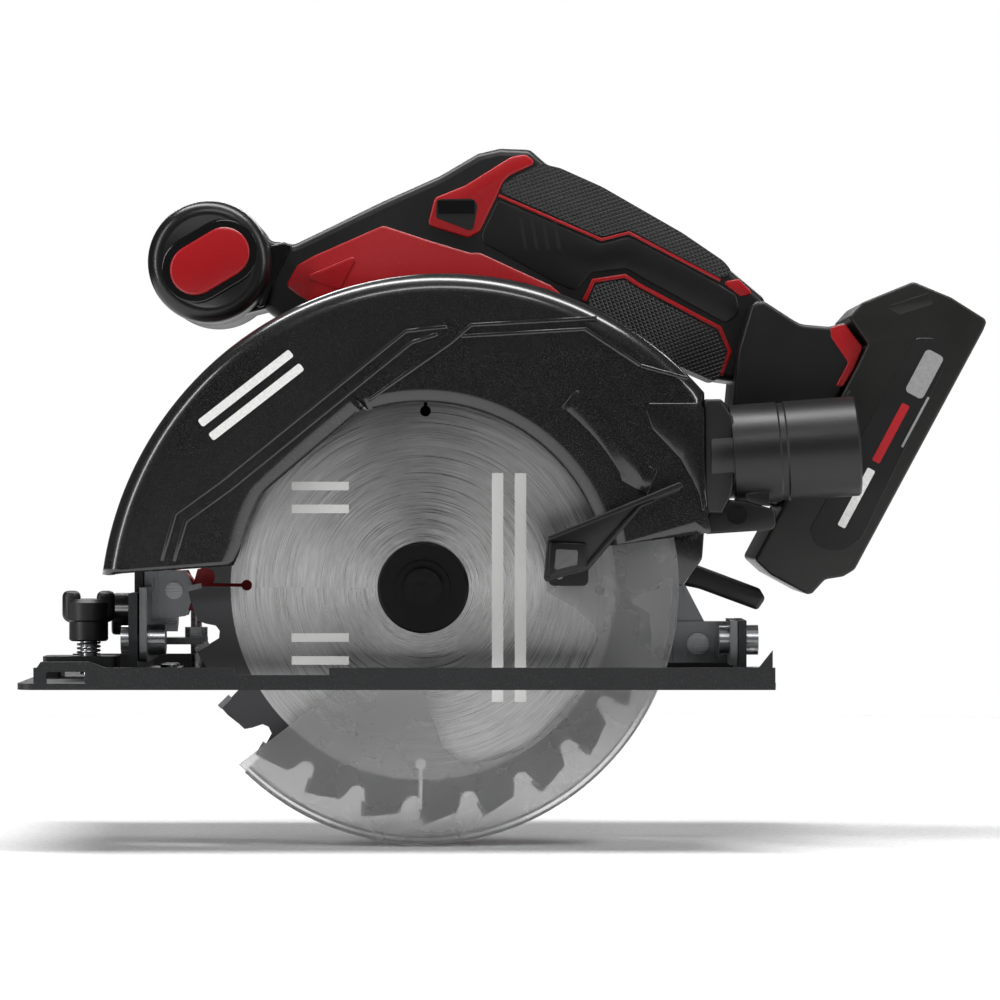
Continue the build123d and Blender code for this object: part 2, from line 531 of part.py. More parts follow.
def guard_pieces():
    z = blade_height
    shell = rod_y(guard_centre_x, guard_centre_z, guard_left, guard_right, guard_radius)
    shell = fillet(end_edges(shell, guard_left), guard_shoulder)
    hollow = rod_y(guard_centre_x, guard_centre_z, guard_left + guard_wall, guard_right - guard_wall,
                   guard_radius - guard_wall)
    hollow = fillet(end_edges(hollow, guard_left + guard_wall), guard_shoulder - guard_wall)
    under = [(-130, 38.9), (-112, 38.9), (-65.5, 42), (-62, 46.6), (62, 48.8), (98.5, 52.8), (guard_end, 53.5),
             (guard_end, 160), (-130, 160)]
    shell &= side_prism(under, guard_left - 1, guard_right + 1)
    hollow &= box(-140, guard_end - guard_wall, -40, 40, -100, 200)
    lug = side_prism([(66, 58), (99, 58), (98, 44), (91, 34.5), (77, 34.5), (70, 42)],
                     guard_right - guard_wall, guard_right, 3)
    lug += rod_y(depth_lock_x, depth_lock_z, guard_right, arm_y - body_gap, 7)
    window = rod_y(0, z, guard_left - 1, guard_left + guard_wall + 1, guard_window)
    window &= side_prism([(-90, 37.5), (-55.5, 67.3), (-19.5, 97.8), (60, 165), (90, -60), (-90, -60)],
                         guard_left - 2, guard_left + guard_wall + 2)
    shell = shell - hollow - window + lug
    shell -= rod_y(0, z, guard_right - guard_wall - 1, guard_right + 1, guard_hub_radius + 2.5)
    shell -= rod_y(depth_lock_x, depth_lock_z, 0, 40, lock_bolt_diameter / 2 + seat_gap)
    port_hole = turned(rod_x(port_mid, port_z, guard_end - 8, guard_end + 1, port_throat), guard_end, port_z, port_slope)
    duct = box(guard_end - 10, guard_end + 2, guard_left + guard_wall, guard_right - guard_wall, 0, 200)
    shell -= port_hole & duct
    # raised mark: a broad curved arrow that shows the way the blade turns
    arrow = ring_sector(0, z, 77.5, 88.5, 28, 52, guard_left - 0.8, guard_left + 0.1)
    nodes["upper_guard"] = shell + arrow

    # gear housing: boss for the spindle, seat for the motor, arm to the depth pivot
    y0, y1 = guard_right + body_gap, motor_front
    body = rod_y(0, z, y0, y1, 30) + rod_y(motor_x, motor_z, y0, y1, motor_housing_radius)
    body += side_prism([(-10, 60), (-26, 52), (-80, 40.5), (-84, 26), (-60, 24), (-20, 14), (0, 20)], y0 + 3, y1 - 4.8)
    body += rod_y(depth_pivot_x, depth_pivot_z, y0 + 3, y1 - 4.8, 7.2)
    body -= box(-99, -77, 0, ear_left + ear_sheet + body_gap, 20, 44) + box(-99, -77, ear_right - body_gap, 40, 20, 44)
    body += rod_y(0, z, boss_left, y0, guard_boss_radius)
    body -= rod_y(depth_pivot_x, depth_pivot_z, 0, 60, pivot_pin_diameter / 2 + running_fit)
    body -= rod_y(0, z, 0, gear_y, 7.0) + rod_y(0, z, 6.5, 14.5, bearing_outer + seat_gap)
    body -= rod_y(0, z, gear_y - 1.5, gear_y + gear_width + 0.5, gear_cavity)
    body -= rod_y(motor_x, motor_z, gear_y - 1.5, 28, 8.0)
    body -= rod_y(0, z, gear_y + gear_width + 0.5, y1 + 1, rear_bearing_outer + seat_gap)
    body -= rod_y(motor_x, motor_z, 28, y1 + 1, motor_bearing_outer + seat_gap)
    body -= lock_rod(gear_cavity - 1, 45, 3.2)
    nodes["gear_housing"] = body
    bearings = [tube_y(0, z, 6.5, 14.5, bearing_outer, spindle_diameter / 2 + seat_gap),
                tube_y(0, z, gear_y + gear_width + 0.5, spindle_end, rear_bearing_outer,
                       spindle_diameter / 2 + seat_gap),
                tube_y(motor_x, motor_z, 28, motor_front, motor_bearing_outer, 2.5 + seat_gap),
                tube_y(motor_x, motor_z, motor_rear - 10, motor_rear - 4, motor_bearing_outer, 2.5 + seat_gap)]
    nodes["ball_bearings"] = Compound(children=bearings)
    screws = []
    inner_face = guard_right - guard_wall
    for sx, sz in guard_screw_places:
        screws.append(rod_y(sx, sz, inner_face - 1.6, inner_face, 3.6) +
                      rod_y(sx, sz, inner_face, guard_right + 9, guard_screw_radius))
        nodes["upper_guard"] -= rod_y(sx, sz, inner_face - 0.01, 30, guard_screw_radius + seat_gap)
        nodes["gear_housing"] -= rod_y(sx, sz, 0, guard_right + 9.1, guard_screw_radius + seat_gap)
    # one more holds the dust port's tab
    port_screw = rod_y(port_screw_x, port_screw_z, guard_left + 1.2, guard_left + 3, 3.3)
    port_screw += rod_y(port_screw_x, port_screw_z, guard_left + 3, guard_left + 7, guard_screw_radius)
    nodes["guard_screws"] = Compound(children=screws + [port_screw])

    bolt = rod_y(depth_lock_x, depth_lock_z, guard_right - guard_wall - 2.4, lever_y + 6.5, lock_bolt_diameter / 2)
    bolt += rod_y(depth_lock_x, depth_lock_z, guard_right - guard_wall - 2.4, guard_right - guard_wall, 5.0)
    nodes["depth_lock_bolt"] = bolt
    lever = rod_y(depth_lock_x, depth_lock_z, arm_y + arm_sheet + body_gap, lever_y + 7, 8.0)
    lever += side_prism([(84, 34.5), (97.5, 33.1), (118.7, 25.3), (121.5, 29.9), (119.4, 33.8), (97.5, 41.9),
                         (84, 49.5)], lever_y, lever_y + 6)
    nodes["depth_lever"] = lever - rod_y(depth_lock_x, depth_lock_z, 0, 40, lock_bolt_diameter / 2 + running_fit)
    # spindle lock: a pin pressed in towards the rim of the output gear, its head clear of the housing
    nodes["spindle_lock_button"] = lock_rod(22.5, 36 + lock_travel, 3.1) + lock_rod(35.2 + lock_travel, 41.8, 5.5)


def port_pieces():
    x = guard_end
    outer, inner = port_diameter / 2, port_diameter / 2 - port_wall
    tube = rod_x(port_mid, port_z, x + 8, x + port_length, outer)
    flare = box(x, x + 10, guard_left + 1, guard_right - 0.5, port_z - 20, port_z + 20)
    flare = fillet(flare.edges().filter_by(Axis.X), 4)
    tube = tube + flare - rod_x(port_mid, port_z, x - 4, x + port_shoulder + 1, port_throat)
    tube -= rod_x(port_mid, port_z, x + port_shoulder, x + port_length + 8, inner)
    tube = turned(tube, x, port_z, port_slope)
    tab = side_prism([(x, 52.7), (122.8, 54.5), (122.4, 62), (x, 66)], guard_left + 3, guard_left + 7)
    port = tube + tab - box(x - 20, x, -60, 60, 0, 200)
    port -= rod_y(port_screw_x, port_screw_z, -40, 0, guard_screw_radius + seat_gap)
    port -= rod_y(port_screw_x, port_screw_z, -40, guard_left + 3, 3.6)
    nodes["dust_port"] = port


# ---------------- motor ----------------
def motor_pieces():
    x, z, r = motor_x, motor_z, motor_housing_radius
    inner = r - housing_wall
    shell = tube_y(x, z, motor_front, motor_rear, r, inner)
    for y in (motor_front + 20, motor_rear - 33):
        shell += tube_y(x, z, y, y + 3, inner + 0.5, motor_can_radius + seat_gap)
    for k in range(14):
        a = 360 / 14 * k
        shell -= turned(box(x + r - 6, x + r + 2, motor_rear - 16, motor_rear - 4, z - 1.6, z + 1.6), x, z, a)
    nodes["motor_housing"] = shell
    cap = rod_y(x, z, motor_rear, motor_rear + 7, r)
    cap = fillet(end_edges(cap, motor_rear + 7), 4)
    cap += tube_y(x, z, motor_rear - 10, motor_rear + 1, motor_bearing_outer + 3, motor_bearing_outer + seat_gap)
    for k in (-2, -1, 0, 1, 2):
        cap -= box(x - 16, x + 16, motor_rear + 5, motor_rear + 8, z + 7 * k - 1.2, z + 7 * k + 1.2)
    nodes["motor_end_cap"] = cap
    nodes["motor_can"] = tube_y(x, z, motor_front + 18, motor_rear - 30.5, motor_can_radius, 16.6)
    brush = tube_y(x, z, motor_rear - 29, motor_rear - 22, inner - seat_gap, 9.2)
    nodes["brush_holder"] = brush


# ---------------- main housing ----------------
def slope_box(u0, u1, v0, v1, y0, y1):
    # a box in the battery's own direction: u along the slide, v towards the dock
    return turned(box(rail_x + u0, rail_x + u1, y0, y1, rail_z + v0, rail_z + v1), rail_x, rail_z, battery_slope)


def both_sides(points, depth, proud, near=None):
    # a plate let into each side of the housing, mirrored about the parting plane
    half = handle_width / 2 if near is None else near
    left = side_prism(points, handle_mid - half - proud, handle_mid - half + depth)
    right = side_prism(points, handle_mid + half - depth, handle_mid + half + proud)
    return [left, right]


def saddle(points, drop):
    # a grip skin over both sides and one edge of the handle
    half = handle_width / 2
    skin = side_prism(points, handle_mid - half - 0.6, handle_mid + half + 0.6)
    core = Pos(0, 0, drop) * side_prism(points, handle_mid - half + grip_skin, handle_mid + half - grip_skin)
    return skin - core


def housing_pieces():
    half = handle_width / 2
    top = [(-54, 157.5), (-46.7, 156.6), (-38, 160.8), (-15, 172), (5.2, 181), (19, 189.3), (27, 191.1),
           (37.7, 190.7), (43, 185.6), (62.9, 176.7), (91.8, 160.1), (106.2, 150), (122.8, 136)]
    foot = [(116, 106), (104.7, 107.6), (91.8, 112.9), (70, 117.5), (54, 118.5)]
    front = [(49, 110), (46, 80), (36, 40), (5, 28), (-20, 48), (-28, 95), (-44, 124), (-58, 133)]
    body = side_prism(top + foot + front, handle_mid - half, handle_mid + half)
    body = chamfer(end_edges(body, handle_mid - half, handle_mid + half), 2.0)
    dock = side_prism([(117, 138), (133.2, 127.2), (143.7, 126.3), (149.1, 128.0), (156.0, 119.2),
                       (rail_x, rail_z), (126, 62), (118, 64), (112, 76), (109, 97), (111, 118)],
                      handle_mid - dock_width / 2, handle_mid + dock_width / 2)
    collar = rod_y(motor_x, motor_z, handle_mid - half, handle_mid + half, motor_housing_radius + 3.5)
    body = body + dock + collar
    body -= rod_y(motor_x, motor_z, 0, 200, motor_housing_radius + motor_seat_gap)
    cavity = side_prism([(-24, 122), (-18, 150), (0, 157), (42, 157), (44, 130), (40, 95), (-15, 91)],
                        handle_mid - half + 3, handle_mid + half - 3)
    body -= cavity
    body -= box(55.7, 78.3, handle_mid - 6.3, handle_mid + 6.3, 100, 132)
    body -= box(lock_x - 6.8, lock_x + 6.8, 0, 120, 161.5, 172.4)
    body -= slope_box(-50, 40, -1, 9, handle_mid - 20, handle_mid + 20)
    body -= slope_box(-50, 40, 4.5, 9, handle_mid - 24, handle_mid + 24)

    panels = both_sides([(-46, 138), (-50.5, 142), (-45.8, 149.4), (-15, 163.7), (1.8, 158), (16.1, 153.7),
                         (19.7, 153.7), (45.5, 141.9), (51.9, 136.5), (48, 124), (-20, 124)], 2.4, 0.4)
    bezels = both_sides([(0.4, 161.5), (3.0, 173.4), (14.3, 177.6), (31, 188.0), (36, 188.8), (40.5, 185.5),
                         (28.6, 180.1), (25.8, 173.7), (19, 160.8), (16.1, 157.5)], 2.4, 0.8)
    # room for the lock-off button and its travel
    opening = box(lock_x - 7, lock_x + 7, 0, 120, 163, 172.5)
    bezels = [bezel - opening for bezel in bezels]
    upper = saddle([(26.9, 177), (40, 185.2), (43.5, 186), (48.3, 183.9), (63.3, 177.2), (92.2, 160.6),
                    (107, 150.4), (110.6, 146), (105.6, 143.3), (73.0, 160.8), (63, 158.3), (26.5, 174.1)], -1.8)
    lower = saddle([(56.6, 136.5), (59.8, 143.7), (71.6, 145.4), (76.2, 142.2), (105.6, 126.5), (109.2, 117.9),
                    (106.4, 107.2), (104.7, 107.2), (91.6, 112.2), (79.5, 115.0), (79.5, 122), (60, 124)], 1.8)
    trims = both_sides([(143.9, 125.9), (149.0, 127.5), (155.6, 118.9), (rail_x - 0.3, rail_z - 1),
                        (148.5, 105), (145.6, 105), (150.5, 113.5), (144.0, 122.5)], 2.0, 0.4, dock_width / 2)
    caps = both_sides([(105.6, 143.0), (112.3, 144.2), (118.0, 138.6), (112.8, 137.4)], 2.4, 0.4)
    upper = upper - bezels[0] - bezels[1]
    lower -= box(50, 82, handle_mid - 7.1, handle_mid + 7.1, 100, 151)
    for piece in panels + bezels + [upper, lower] + trims + caps:
        body -= piece
    nodes["side_panels"] = Compound(children=panels)
    nodes["lock_off_bezels"] = Compound(children=bezels)
    nodes["upper_grip"] = upper
    nodes["lower_grip"] = lower
    nodes["red_trims"] = Compound(children=trims + caps)

    # front handle: a bar across the front of the housing, with a pad in each end
    x, z, r = front_grip_x, front_grip_z, front_grip_radius
    y0, y1 = handle_mid - front_grip_half, handle_mid + front_grip_half
    bar = rod_y(x, z, y0, y1, r)
    bar = fillet(bar.edges(), 5)
    neck = side_prism([(-70, 166), (-58, 159.5), (-50, 157.5), (-54, 133.5), (-60, 132.3), (-70, 130)],
                      handle_mid - half + 1, handle_mid + half - 1)
    bar = bar + neck
    bar -= body
    pads = []
    for ya, yb in ((y0 - 0.5, y0 + 2), (y1 - 2, y1 + 0.5)):
        pad = rod_y(x + 5.6, z + 3.2, ya, yb, 9.3) + rod_y(x - 4.8, z - 3.0, ya, yb, 9.3)
        pad += turned(box(x - 6, x + 6, ya, yb, z - 9.3, z + 9.3), x, z, 31)
        bar -= pad
        pads.append(pad)
    nodes["front_handle"] = bar
    nodes["front_handle_pads"] = Compound(children=pads)

    screws = []
    for sx, sz in housing_screw_places:
        hole = rod_y(sx, sz, handle_mid - 12, handle_mid + half - 3, 1.6 + seat_gap)
        hole += rod_y(sx, sz, handle_mid + half - 5, handle_mid + half + 5, 3.2 + seat_gap)
        body -= hole
        screws.append(rod_y(sx, sz, handle_mid - 11.5, handle_mid + half - 5, 1.6) +
                      rod_y(sx, sz, handle_mid + half - 5, handle_mid + half - 2, 3.2))
    nodes["housing_screws"] = Compound(children=screws)
    nodes["housing_left"] = body & box(-200, 300, -100, handle_mid, -100, 300)
    nodes["housing_right"] = body & box(-200, 300, handle_mid, 200, -100, 300)

    nodes["trigger"] = side_prism([(56, 125), (56, 112), (60, 107), (66, 106), (74, 110), (78, 113), (78, 125)],
                                  handle_mid - 6, handle_mid + 6)
    nodes["switch_body"] = box(54, 80, handle_mid - 7, handle_mid + 7, 132.3, 150)
    for name in ("housing_left", "housing_right"):
        nodes[name] -= box(54 - seat_gap, 80 + seat_gap, handle_mid - 7.02, handle_mid + 7.02, 131.8, 150.02)
    bar = box(lock_x - 6.5, lock_x + 6.5, handle_mid - half - 1.0, handle_mid + half + 1.0, 167.4, 172)
    nodes["lock_off_button"] = bar
    contacts = [slope_box(-44, -12, 5.4, 9.0, handle_mid - 9.0 + 6 * k - 0.4, handle_mid - 9.0 + 6 * k + 0.4)
                for k in range(4)]
    nodes["battery_contacts"] = Compound(children=contacts)


# ---------------- battery ----------------
def battery_pieces():
    half = battery_width / 2
    y0, y1 = handle_mid - half, handle_mid + half
    gap = body_gap / cos(radians(90 - battery_slope))
    outline = [(150.0, 129.2), (155, 135), (173.1, 142.4), (186.5, 136.8), (199.6, 128.6), (198, 124.8),
               (152.5, 40.1), (148.3, 37.6), (141.9, 36.6), (137.3, 31.6), (135.5, 31.3), (122.4, 38.3),
               (rail_x - (rail_z - 43.7) / tan(radians(battery_slope)) + gap, 43.7),
               (rail_x + gap, rail_z), (156.4 + gap, 119.4 + gap)]
    case = side_prism(outline, y0, y1)
    case = chamfer(end_edges(case, y0, y1), 1.2)
    tower = slope_box(-49.5, -3, -1, 8.7, handle_mid - 19.7, handle_mid + 19.7)
    tower += slope_box(-49.5, -3, 4.8, 8.7, handle_mid - 23.7, handle_mid + 23.7)
    for k in range(4):
        y = handle_mid - 9.0 + 6 * k
        tower -= slope_box(-49.6, 10, 5.0, 9.5, y - 1.2, y + 1.2)
    case += tower
    label = side_prism([(173.6, 122.5), (180.7, 122.5), (185.3, 117.9), (185.3, 113.7), (154.8, 50.8),
                        (148.8, 46.5), (142.8, 46.5), (138.2, 49), (135.8, 54.3)], y0 - 0.3, y0 + 0.5, 1)
    case -= label
    latch = slope_box(20, 34, -30, -14, handle_mid - 16, handle_mid + 16)
    latch &= side_prism(outline, y0, y1)
    pocket = slope_box(19.7, 60, -30.3, -13.7, handle_mid - 16.3, handle_mid + 16.3)
    case -= pocket
    latch -= slope_box(19, 20.0 + latch_travel, -31, -13, 0, 200)
    nodes["battery_case"] = case
    nodes["battery_label"] = label
    nodes["battery_latch"] = latch


base_pieces()
fence_pieces()
tilt_pieces()
spindle_pieces()
lower_guard_pieces()
guard_pieces()
port_pieces()
motor_pieces()
housing_pieces()
battery_pieces()

os.makedirs("parts", exist_ok=True)
for name, shape in nodes.items():
    export_step(shape, "parts/" + name + ".step")
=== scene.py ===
import bpy
import bmesh
import random
from math import sin, cos, tan, radians, degrees, atan2, hypot, pi
from mathutils import Vector, Matrix


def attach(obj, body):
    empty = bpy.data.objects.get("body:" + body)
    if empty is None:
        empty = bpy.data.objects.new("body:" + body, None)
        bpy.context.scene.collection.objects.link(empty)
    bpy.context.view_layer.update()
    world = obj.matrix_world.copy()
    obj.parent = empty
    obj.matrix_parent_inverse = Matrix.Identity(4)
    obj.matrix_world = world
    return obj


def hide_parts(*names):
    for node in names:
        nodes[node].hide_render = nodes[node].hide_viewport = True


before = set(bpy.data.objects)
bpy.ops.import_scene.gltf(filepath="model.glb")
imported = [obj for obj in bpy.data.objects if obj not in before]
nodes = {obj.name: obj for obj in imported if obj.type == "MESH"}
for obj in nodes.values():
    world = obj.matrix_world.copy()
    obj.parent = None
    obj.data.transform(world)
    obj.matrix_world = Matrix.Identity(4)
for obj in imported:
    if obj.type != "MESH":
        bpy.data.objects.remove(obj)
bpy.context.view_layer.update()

random.seed(7)

# Sizes are in millimetres and turned into metres where a mesh is made.
# Frame: +X rear, +Y motor side, +Z up, origin on the sole below the blade axis.
blade_z = 34.3
lacquer_inner_radius = 67.3
guard_centre = (7.3, 24.1)
guard_radius = 119.7
guard_near, guard_far = -16.0, 12.5
handle_mid, handle_half = 55.0, 18.0
handle_near = handle_mid - handle_half
battery_near, battery_far = 18.0, 92.0
dock_near, dock_far = 22.0, 88.0
rail = (152.6, 112.0)
battery_slope = 62.0


# ---------------- materials ----------------
def linear(hex_colour):
    # sRGB hex to the linear values that a shader takes
    def one(c):
        return c / 12.92 if c <= 0.04045 else ((c + 0.055) / 1.055) ** 2.4
    return [one(int(hex_colour[i:i + 2], 16) / 255) for i in (1, 3, 5)] + [1.0]


def add(tree, kind, settings=None, **inputs):
    # adds a node, sets its own settings and its inputs by name or number, links sockets
    node = tree.nodes.new("ShaderNode" + kind)
    for key, value in (settings or {}).items():
        setattr(node, key, value)
    for key, value in inputs.items():
        name = int(key[1:]) if key[0] == "i" and key[1:].isdigit() else key.replace("_", " ")
        socket = node.inputs[name]
        if isinstance(value, bpy.types.NodeSocket):
            tree.links.new(value, socket)
        else:
            socket.default_value = value
    return node


def calc(tree, operation, **inputs):
    # a maths node for one operation
    return add(tree, "Math", {"operation": operation}, **inputs)


def blend(tree, **inputs):
    # a mix node for two colours
    return add(tree, "Mix", {"data_type": "RGBA"}, **inputs)


def start(name):
    mat = bpy.data.materials.new(name)
    mat.use_nodes = True
    tree = mat.node_tree
    tree.nodes.clear()
    return mat, tree, add(tree, "TexCoord").outputs["Object"]


def close(tree, shader):
    out = add(tree, "OutputMaterial")
    tree.links.new(shader, out.inputs["Surface"])


def grain(tree, where, size_mm, detail=2.0):
    # noise whose lumps are about size_mm across
    return add(tree, "TexNoise", Vector=where, Scale=1000.0 / size_mm, Detail=detail).outputs["Fac"]


def ramp(tree, value, low, high, out_low, out_high):
    return add(tree, "MapRange", i0=value, i1=low, i2=high, i3=out_low, i4=out_high).outputs[0]


def painted_edge_highlight(tree, base, edge, strength):
    # a lighter tone painted on convex edges as a painted edge highlight
    bevel = add(tree, "Bevel", {"samples": 4}, Radius=0.0008).outputs[0]
    normal = add(tree, "NewGeometry").outputs["Normal"]
    dot = add(tree, "VectorMath", {"operation": "DOT_PRODUCT"}, i0=bevel, i1=normal).outputs["Value"]
    amount = ramp(tree, dot, 0.99, 0.80, 0.0, strength)
    return blend(tree, i0=amount, i6=base, i7=edge).outputs[2]


def plastic(name, colour, rough, lump_mm, depth_mm, spread=0.06, coat=0.0, edge=None):
    # moulded plastic: spark-eroded tool texture as a fine bump, roughness that drifts slowly
    mat, tree, where = start(name)
    lumps = grain(tree, where, lump_mm, 3.0)
    drift = grain(tree, where, 45.0, 2.0)
    roughness = ramp(tree, drift, 0.3, 0.7, rough - spread, rough + spread)
    bump = add(tree, "Bump", Strength=1.0, Distance=depth_mm * 0.001, Height=lumps).outputs[0]
    base = linear(colour)
    tone = ramp(tree, lumps, 0.35, 0.65, 0.92, 1.06)
    tint = add(tree, "Mix", {"data_type": "RGBA", "blend_type": "MULTIPLY"}, i0=1.0, i6=base,
               i7=add(tree, "CombineColor", i0=tone, i1=tone, i2=tone).outputs[0]).outputs[2]
    # painted highlight: the edge colour lightens every bevelled edge
    if edge:
        tint = painted_edge_highlight(tree, tint, linear(edge), 0.5)
    shader = add(tree, "BsdfPrincipled", Base_Color=tint, Roughness=roughness, Normal=bump,
                 Coat_Weight=coat, Coat_Roughness=0.12)
    close(tree, shader.outputs[0])
    return mat


def coated_metal(name, colour, rough, lump_mm, depth_mm, speck=None, coat=0.0):
    # powder coat over pressed metal: orange-peel bump with fine bright flakes
    mat, tree, where = start(name)
    lumps = grain(tree, where, lump_mm, 2.0)
    fine = grain(tree, where, lump_mm / 3, 1.0)
    bump = add(tree, "Bump", Strength=1.0, Distance=depth_mm * 0.001, Height=lumps).outputs[0]
    tint = linear(colour)
    if speck:
        amount = ramp(tree, fine, 0.62, 0.70, 0.0, 0.6)
        tint = blend(tree, i0=amount, i6=tint, i7=linear(speck)).outputs[2]
    roughness = ramp(tree, grain(tree, where, 60.0), 0.3, 0.7, rough - 0.05, rough + 0.06)
    shader = add(tree, "BsdfPrincipled", Base_Color=tint, Roughness=roughness, Normal=bump, Coat_Weight=coat,
                 Coat_Roughness=0.10)
    close(tree, shader.outputs[0])
    return mat


def steel(name, colour, rough, streak_mm=0.0, axis=0, spread=0.08):
    # plated or turned steel: full metal, faint drawing lines along one axis
    mat, tree, where = start(name)
    if streak_mm:
        stretch = [1.0, 1.0, 1.0]
        stretch[axis] = 0.03
        lines = add(tree, "Mapping", i0=where, i3=tuple(stretch)).outputs[0]
        lumps = grain(tree, lines, streak_mm, 2.0)
    else:
        lumps = grain(tree, where, 1.2, 3.0)
    roughness = ramp(tree, lumps, 0.3, 0.7, rough - spread, rough + spread)
    bump = add(tree, "Bump", Strength=0.6, Distance=0.000012, Height=lumps).outputs[0]
    shader = add(tree, "BsdfPrincipled", Base_Color=linear(colour), Metallic=1.0, Roughness=roughness,
                 Normal=bump)
    close(tree, shader.outputs[0])
    return mat


def knurled(name, colour, pitch_mm, slope_deg, depth_mm):
    # overmoulded elastomer with a diamond knurl, two crossed sets of grooves on the side faces
    mat, tree, where = start(name)
    turned = add(tree, "Mapping", i0=where, i2=(0.0, radians(slope_deg), 0.0)).outputs[0]
    part = add(tree, "SeparateXYZ", i0=turned)
    x, y, z = part.outputs[0], part.outputs[1], part.outputs[2]
    k = 2 * pi * 1000.0 / pitch_mm
    across = calc(tree, "ADD", i0=z, i1=y).outputs[0]

    def wave(sign):
        mixed = calc(tree, "MULTIPLY_ADD", i0=across, i1=sign, i2=x).outputs[0]
        turn = calc(tree, "MULTIPLY", i0=mixed, i1=k * 0.5).outputs[0]
        value = calc(tree, "SINE", i0=turn).outputs[0]
        return calc(tree, "ABSOLUTE", i0=value).outputs[0]
    height = calc(tree, "MINIMUM", i0=wave(1.0), i1=wave(-1.0)).outputs[0]
    bump = add(tree, "Bump", Strength=1.0, Distance=depth_mm * 0.001, Height=height).outputs[0]
    # painted shade: the base colour is darkened in the grooves of the knurl, down to 0.45 at their bottom
    groove = ramp(tree, height, 0.0, 0.5, 0.45, 1.0)
    tone = add(tree, "CombineColor", i0=groove, i1=groove, i2=groove).outputs[0]
    tint = add(tree, "Mix", {"data_type": "RGBA", "blend_type": "MULTIPLY"}, i0=1.0, i6=linear(colour),
               i7=tone)
    rough = ramp(tree, grain(tree, where, 30.0), 0.3, 0.7, 0.42, 0.56)
    shader = add(tree, "BsdfPrincipled", Base_Color=tint.outputs[2], Roughness=rough, Normal=bump)
    close(tree, shader.outputs[0])
    return mat


def blade_polar(tree, where):
    # radius in millimetres and angle in turns about the blade's own axis
    centred = add(tree, "VectorMath", {"operation": "SUBTRACT"}, i0=where, i1=(0, 0,
            blade_z / 1000)).outputs[0]
    part = add(tree, "SeparateXYZ", i0=centred)
    flat = add(tree, "CombineXYZ", i0=part.outputs[0], i1=0.0, i2=part.outputs[2]).outputs[0]
    radius = add(tree, "VectorMath", {"operation": "LENGTH"}, i0=flat).outputs["Value"]
    radius = calc(tree, "MULTIPLY", i0=radius, i1=1000.0).outputs[0]
    angle = calc(tree, "ARCTAN2", i0=part.outputs[2], i1=part.outputs[0]).outputs[0]
    return centred, radius, angle, part.outputs[0], part.outputs[2]


def window(tree, value, low, high):
    # 1 between low and high, else 0
    over = calc(tree, "GREATER_THAN", i0=value, i1=low).outputs[0]
    under = calc(tree, "LESS_THAN", i0=value, i1=high).outputs[0]
    return calc(tree, "MULTIPLY", i0=over, i1=under).outputs[0]


def largest(tree, values):
    result = values[0]
    for value in values[1:]:
        result = calc(tree, "MAXIMUM", i0=result, i1=value).outputs[0]
    return result


def blade_material():
    # ground saw plate: circular grinding lines with the fan-shaped gloss they give, a grey lacquer
    # ring by the teeth, and plain printed stripes
    mat, tree, where = start("ground saw plate")
    centred, radius, angle, x, z = blade_polar(tree, where)
    rings = add(tree, "CombineXYZ", i0=radius, i1=calc(tree, "MULTIPLY", i0=angle,
                                                      i1=0.35).outputs[0], i2=0.0).outputs[0]
    lines = add(tree, "TexNoise", Vector=rings, Scale=3.2, Detail=4.0).outputs["Fac"]
    arcs = add(tree, "CombineXYZ", i0=radius, i1=calc(tree, "MULTIPLY", i0=angle,
                                                     i1=5.0).outputs[0], i2=4.0).outputs[0]
    scratches = add(tree, "TexNoise", Vector=arcs, Scale=1.3, Detail=5.0).outputs["Fac"]
    lacquer = calc(tree, "GREATER_THAN", i0=radius, i1=lacquer_inner_radius).outputs[0]
    bright = ramp(tree, lines, 0.3, 0.7, 0.46, 0.68)
    bright = calc(tree, "MULTIPLY", i0=bright,
                 i1=ramp(tree, scratches, 0.35, 0.65, 0.90, 1.08)).outputs[0]
    ground = add(tree, "CombineColor", i0=bright, i1=bright, i2=bright).outputs[0]
    plate = blend(tree, i0=lacquer, i6=ground, i7=linear("#565658")).outputs[2]
    # left, right, bottom and top of each stripe, from the blade centre, in millimetres
    stripes = ((24, 28, -40, 40), (32, 36, -40, 40), (-46, -26, 34, 37), (-46, -26, 26, 29),
               (-46, -26, -19, -16), (-46, -26, -27, -24))
    bars = []
    for x0, x1, z0, z1 in stripes:
        bars.append(calc(tree, "MULTIPLY", i0=window(tree, x, x0 / 1000, x1 / 1000),
                        i1=window(tree, z, z0 / 1000, z1 / 1000)).outputs[0])
    ink = largest(tree, bars)
    tint = blend(tree, i0=ink, i6=plate, i7=linear("#E4E4E2")).outputs[2]
    metal = calc(tree, "SUBTRACT", i0=1.0, i1=ink).outputs[0]
    rough = ramp(tree, lines, 0.3, 0.7, 0.24, 0.38)
    rough = add(tree, "Mix", {}, i0=lacquer, i2=rough, i3=0.45).outputs[0]
    around = add(tree, "VectorMath", {"operation": "CROSS_PRODUCT"}, i0=centred, i1=(0, 1, 0)).outputs[0]
    around = add(tree, "VectorTransform", {"vector_type": "VECTOR", "convert_from": "OBJECT",
                                           "convert_to": "WORLD"}, i0=around).outputs[0]
    around = add(tree, "VectorMath", {"operation": "NORMALIZE"}, i0=around).outputs[0]
    bump = add(tree, "Bump", Strength=0.5, Distance=0.000008, Height=lines).outputs[0]
    shader = add(tree, "BsdfPrincipled", Base_Color=tint, Metallic=metal, Roughness=rough, Normal=bump,
                 Anisotropic=0.85, Tangent=around)
    close(tree, shader.outputs[0])
    return mat


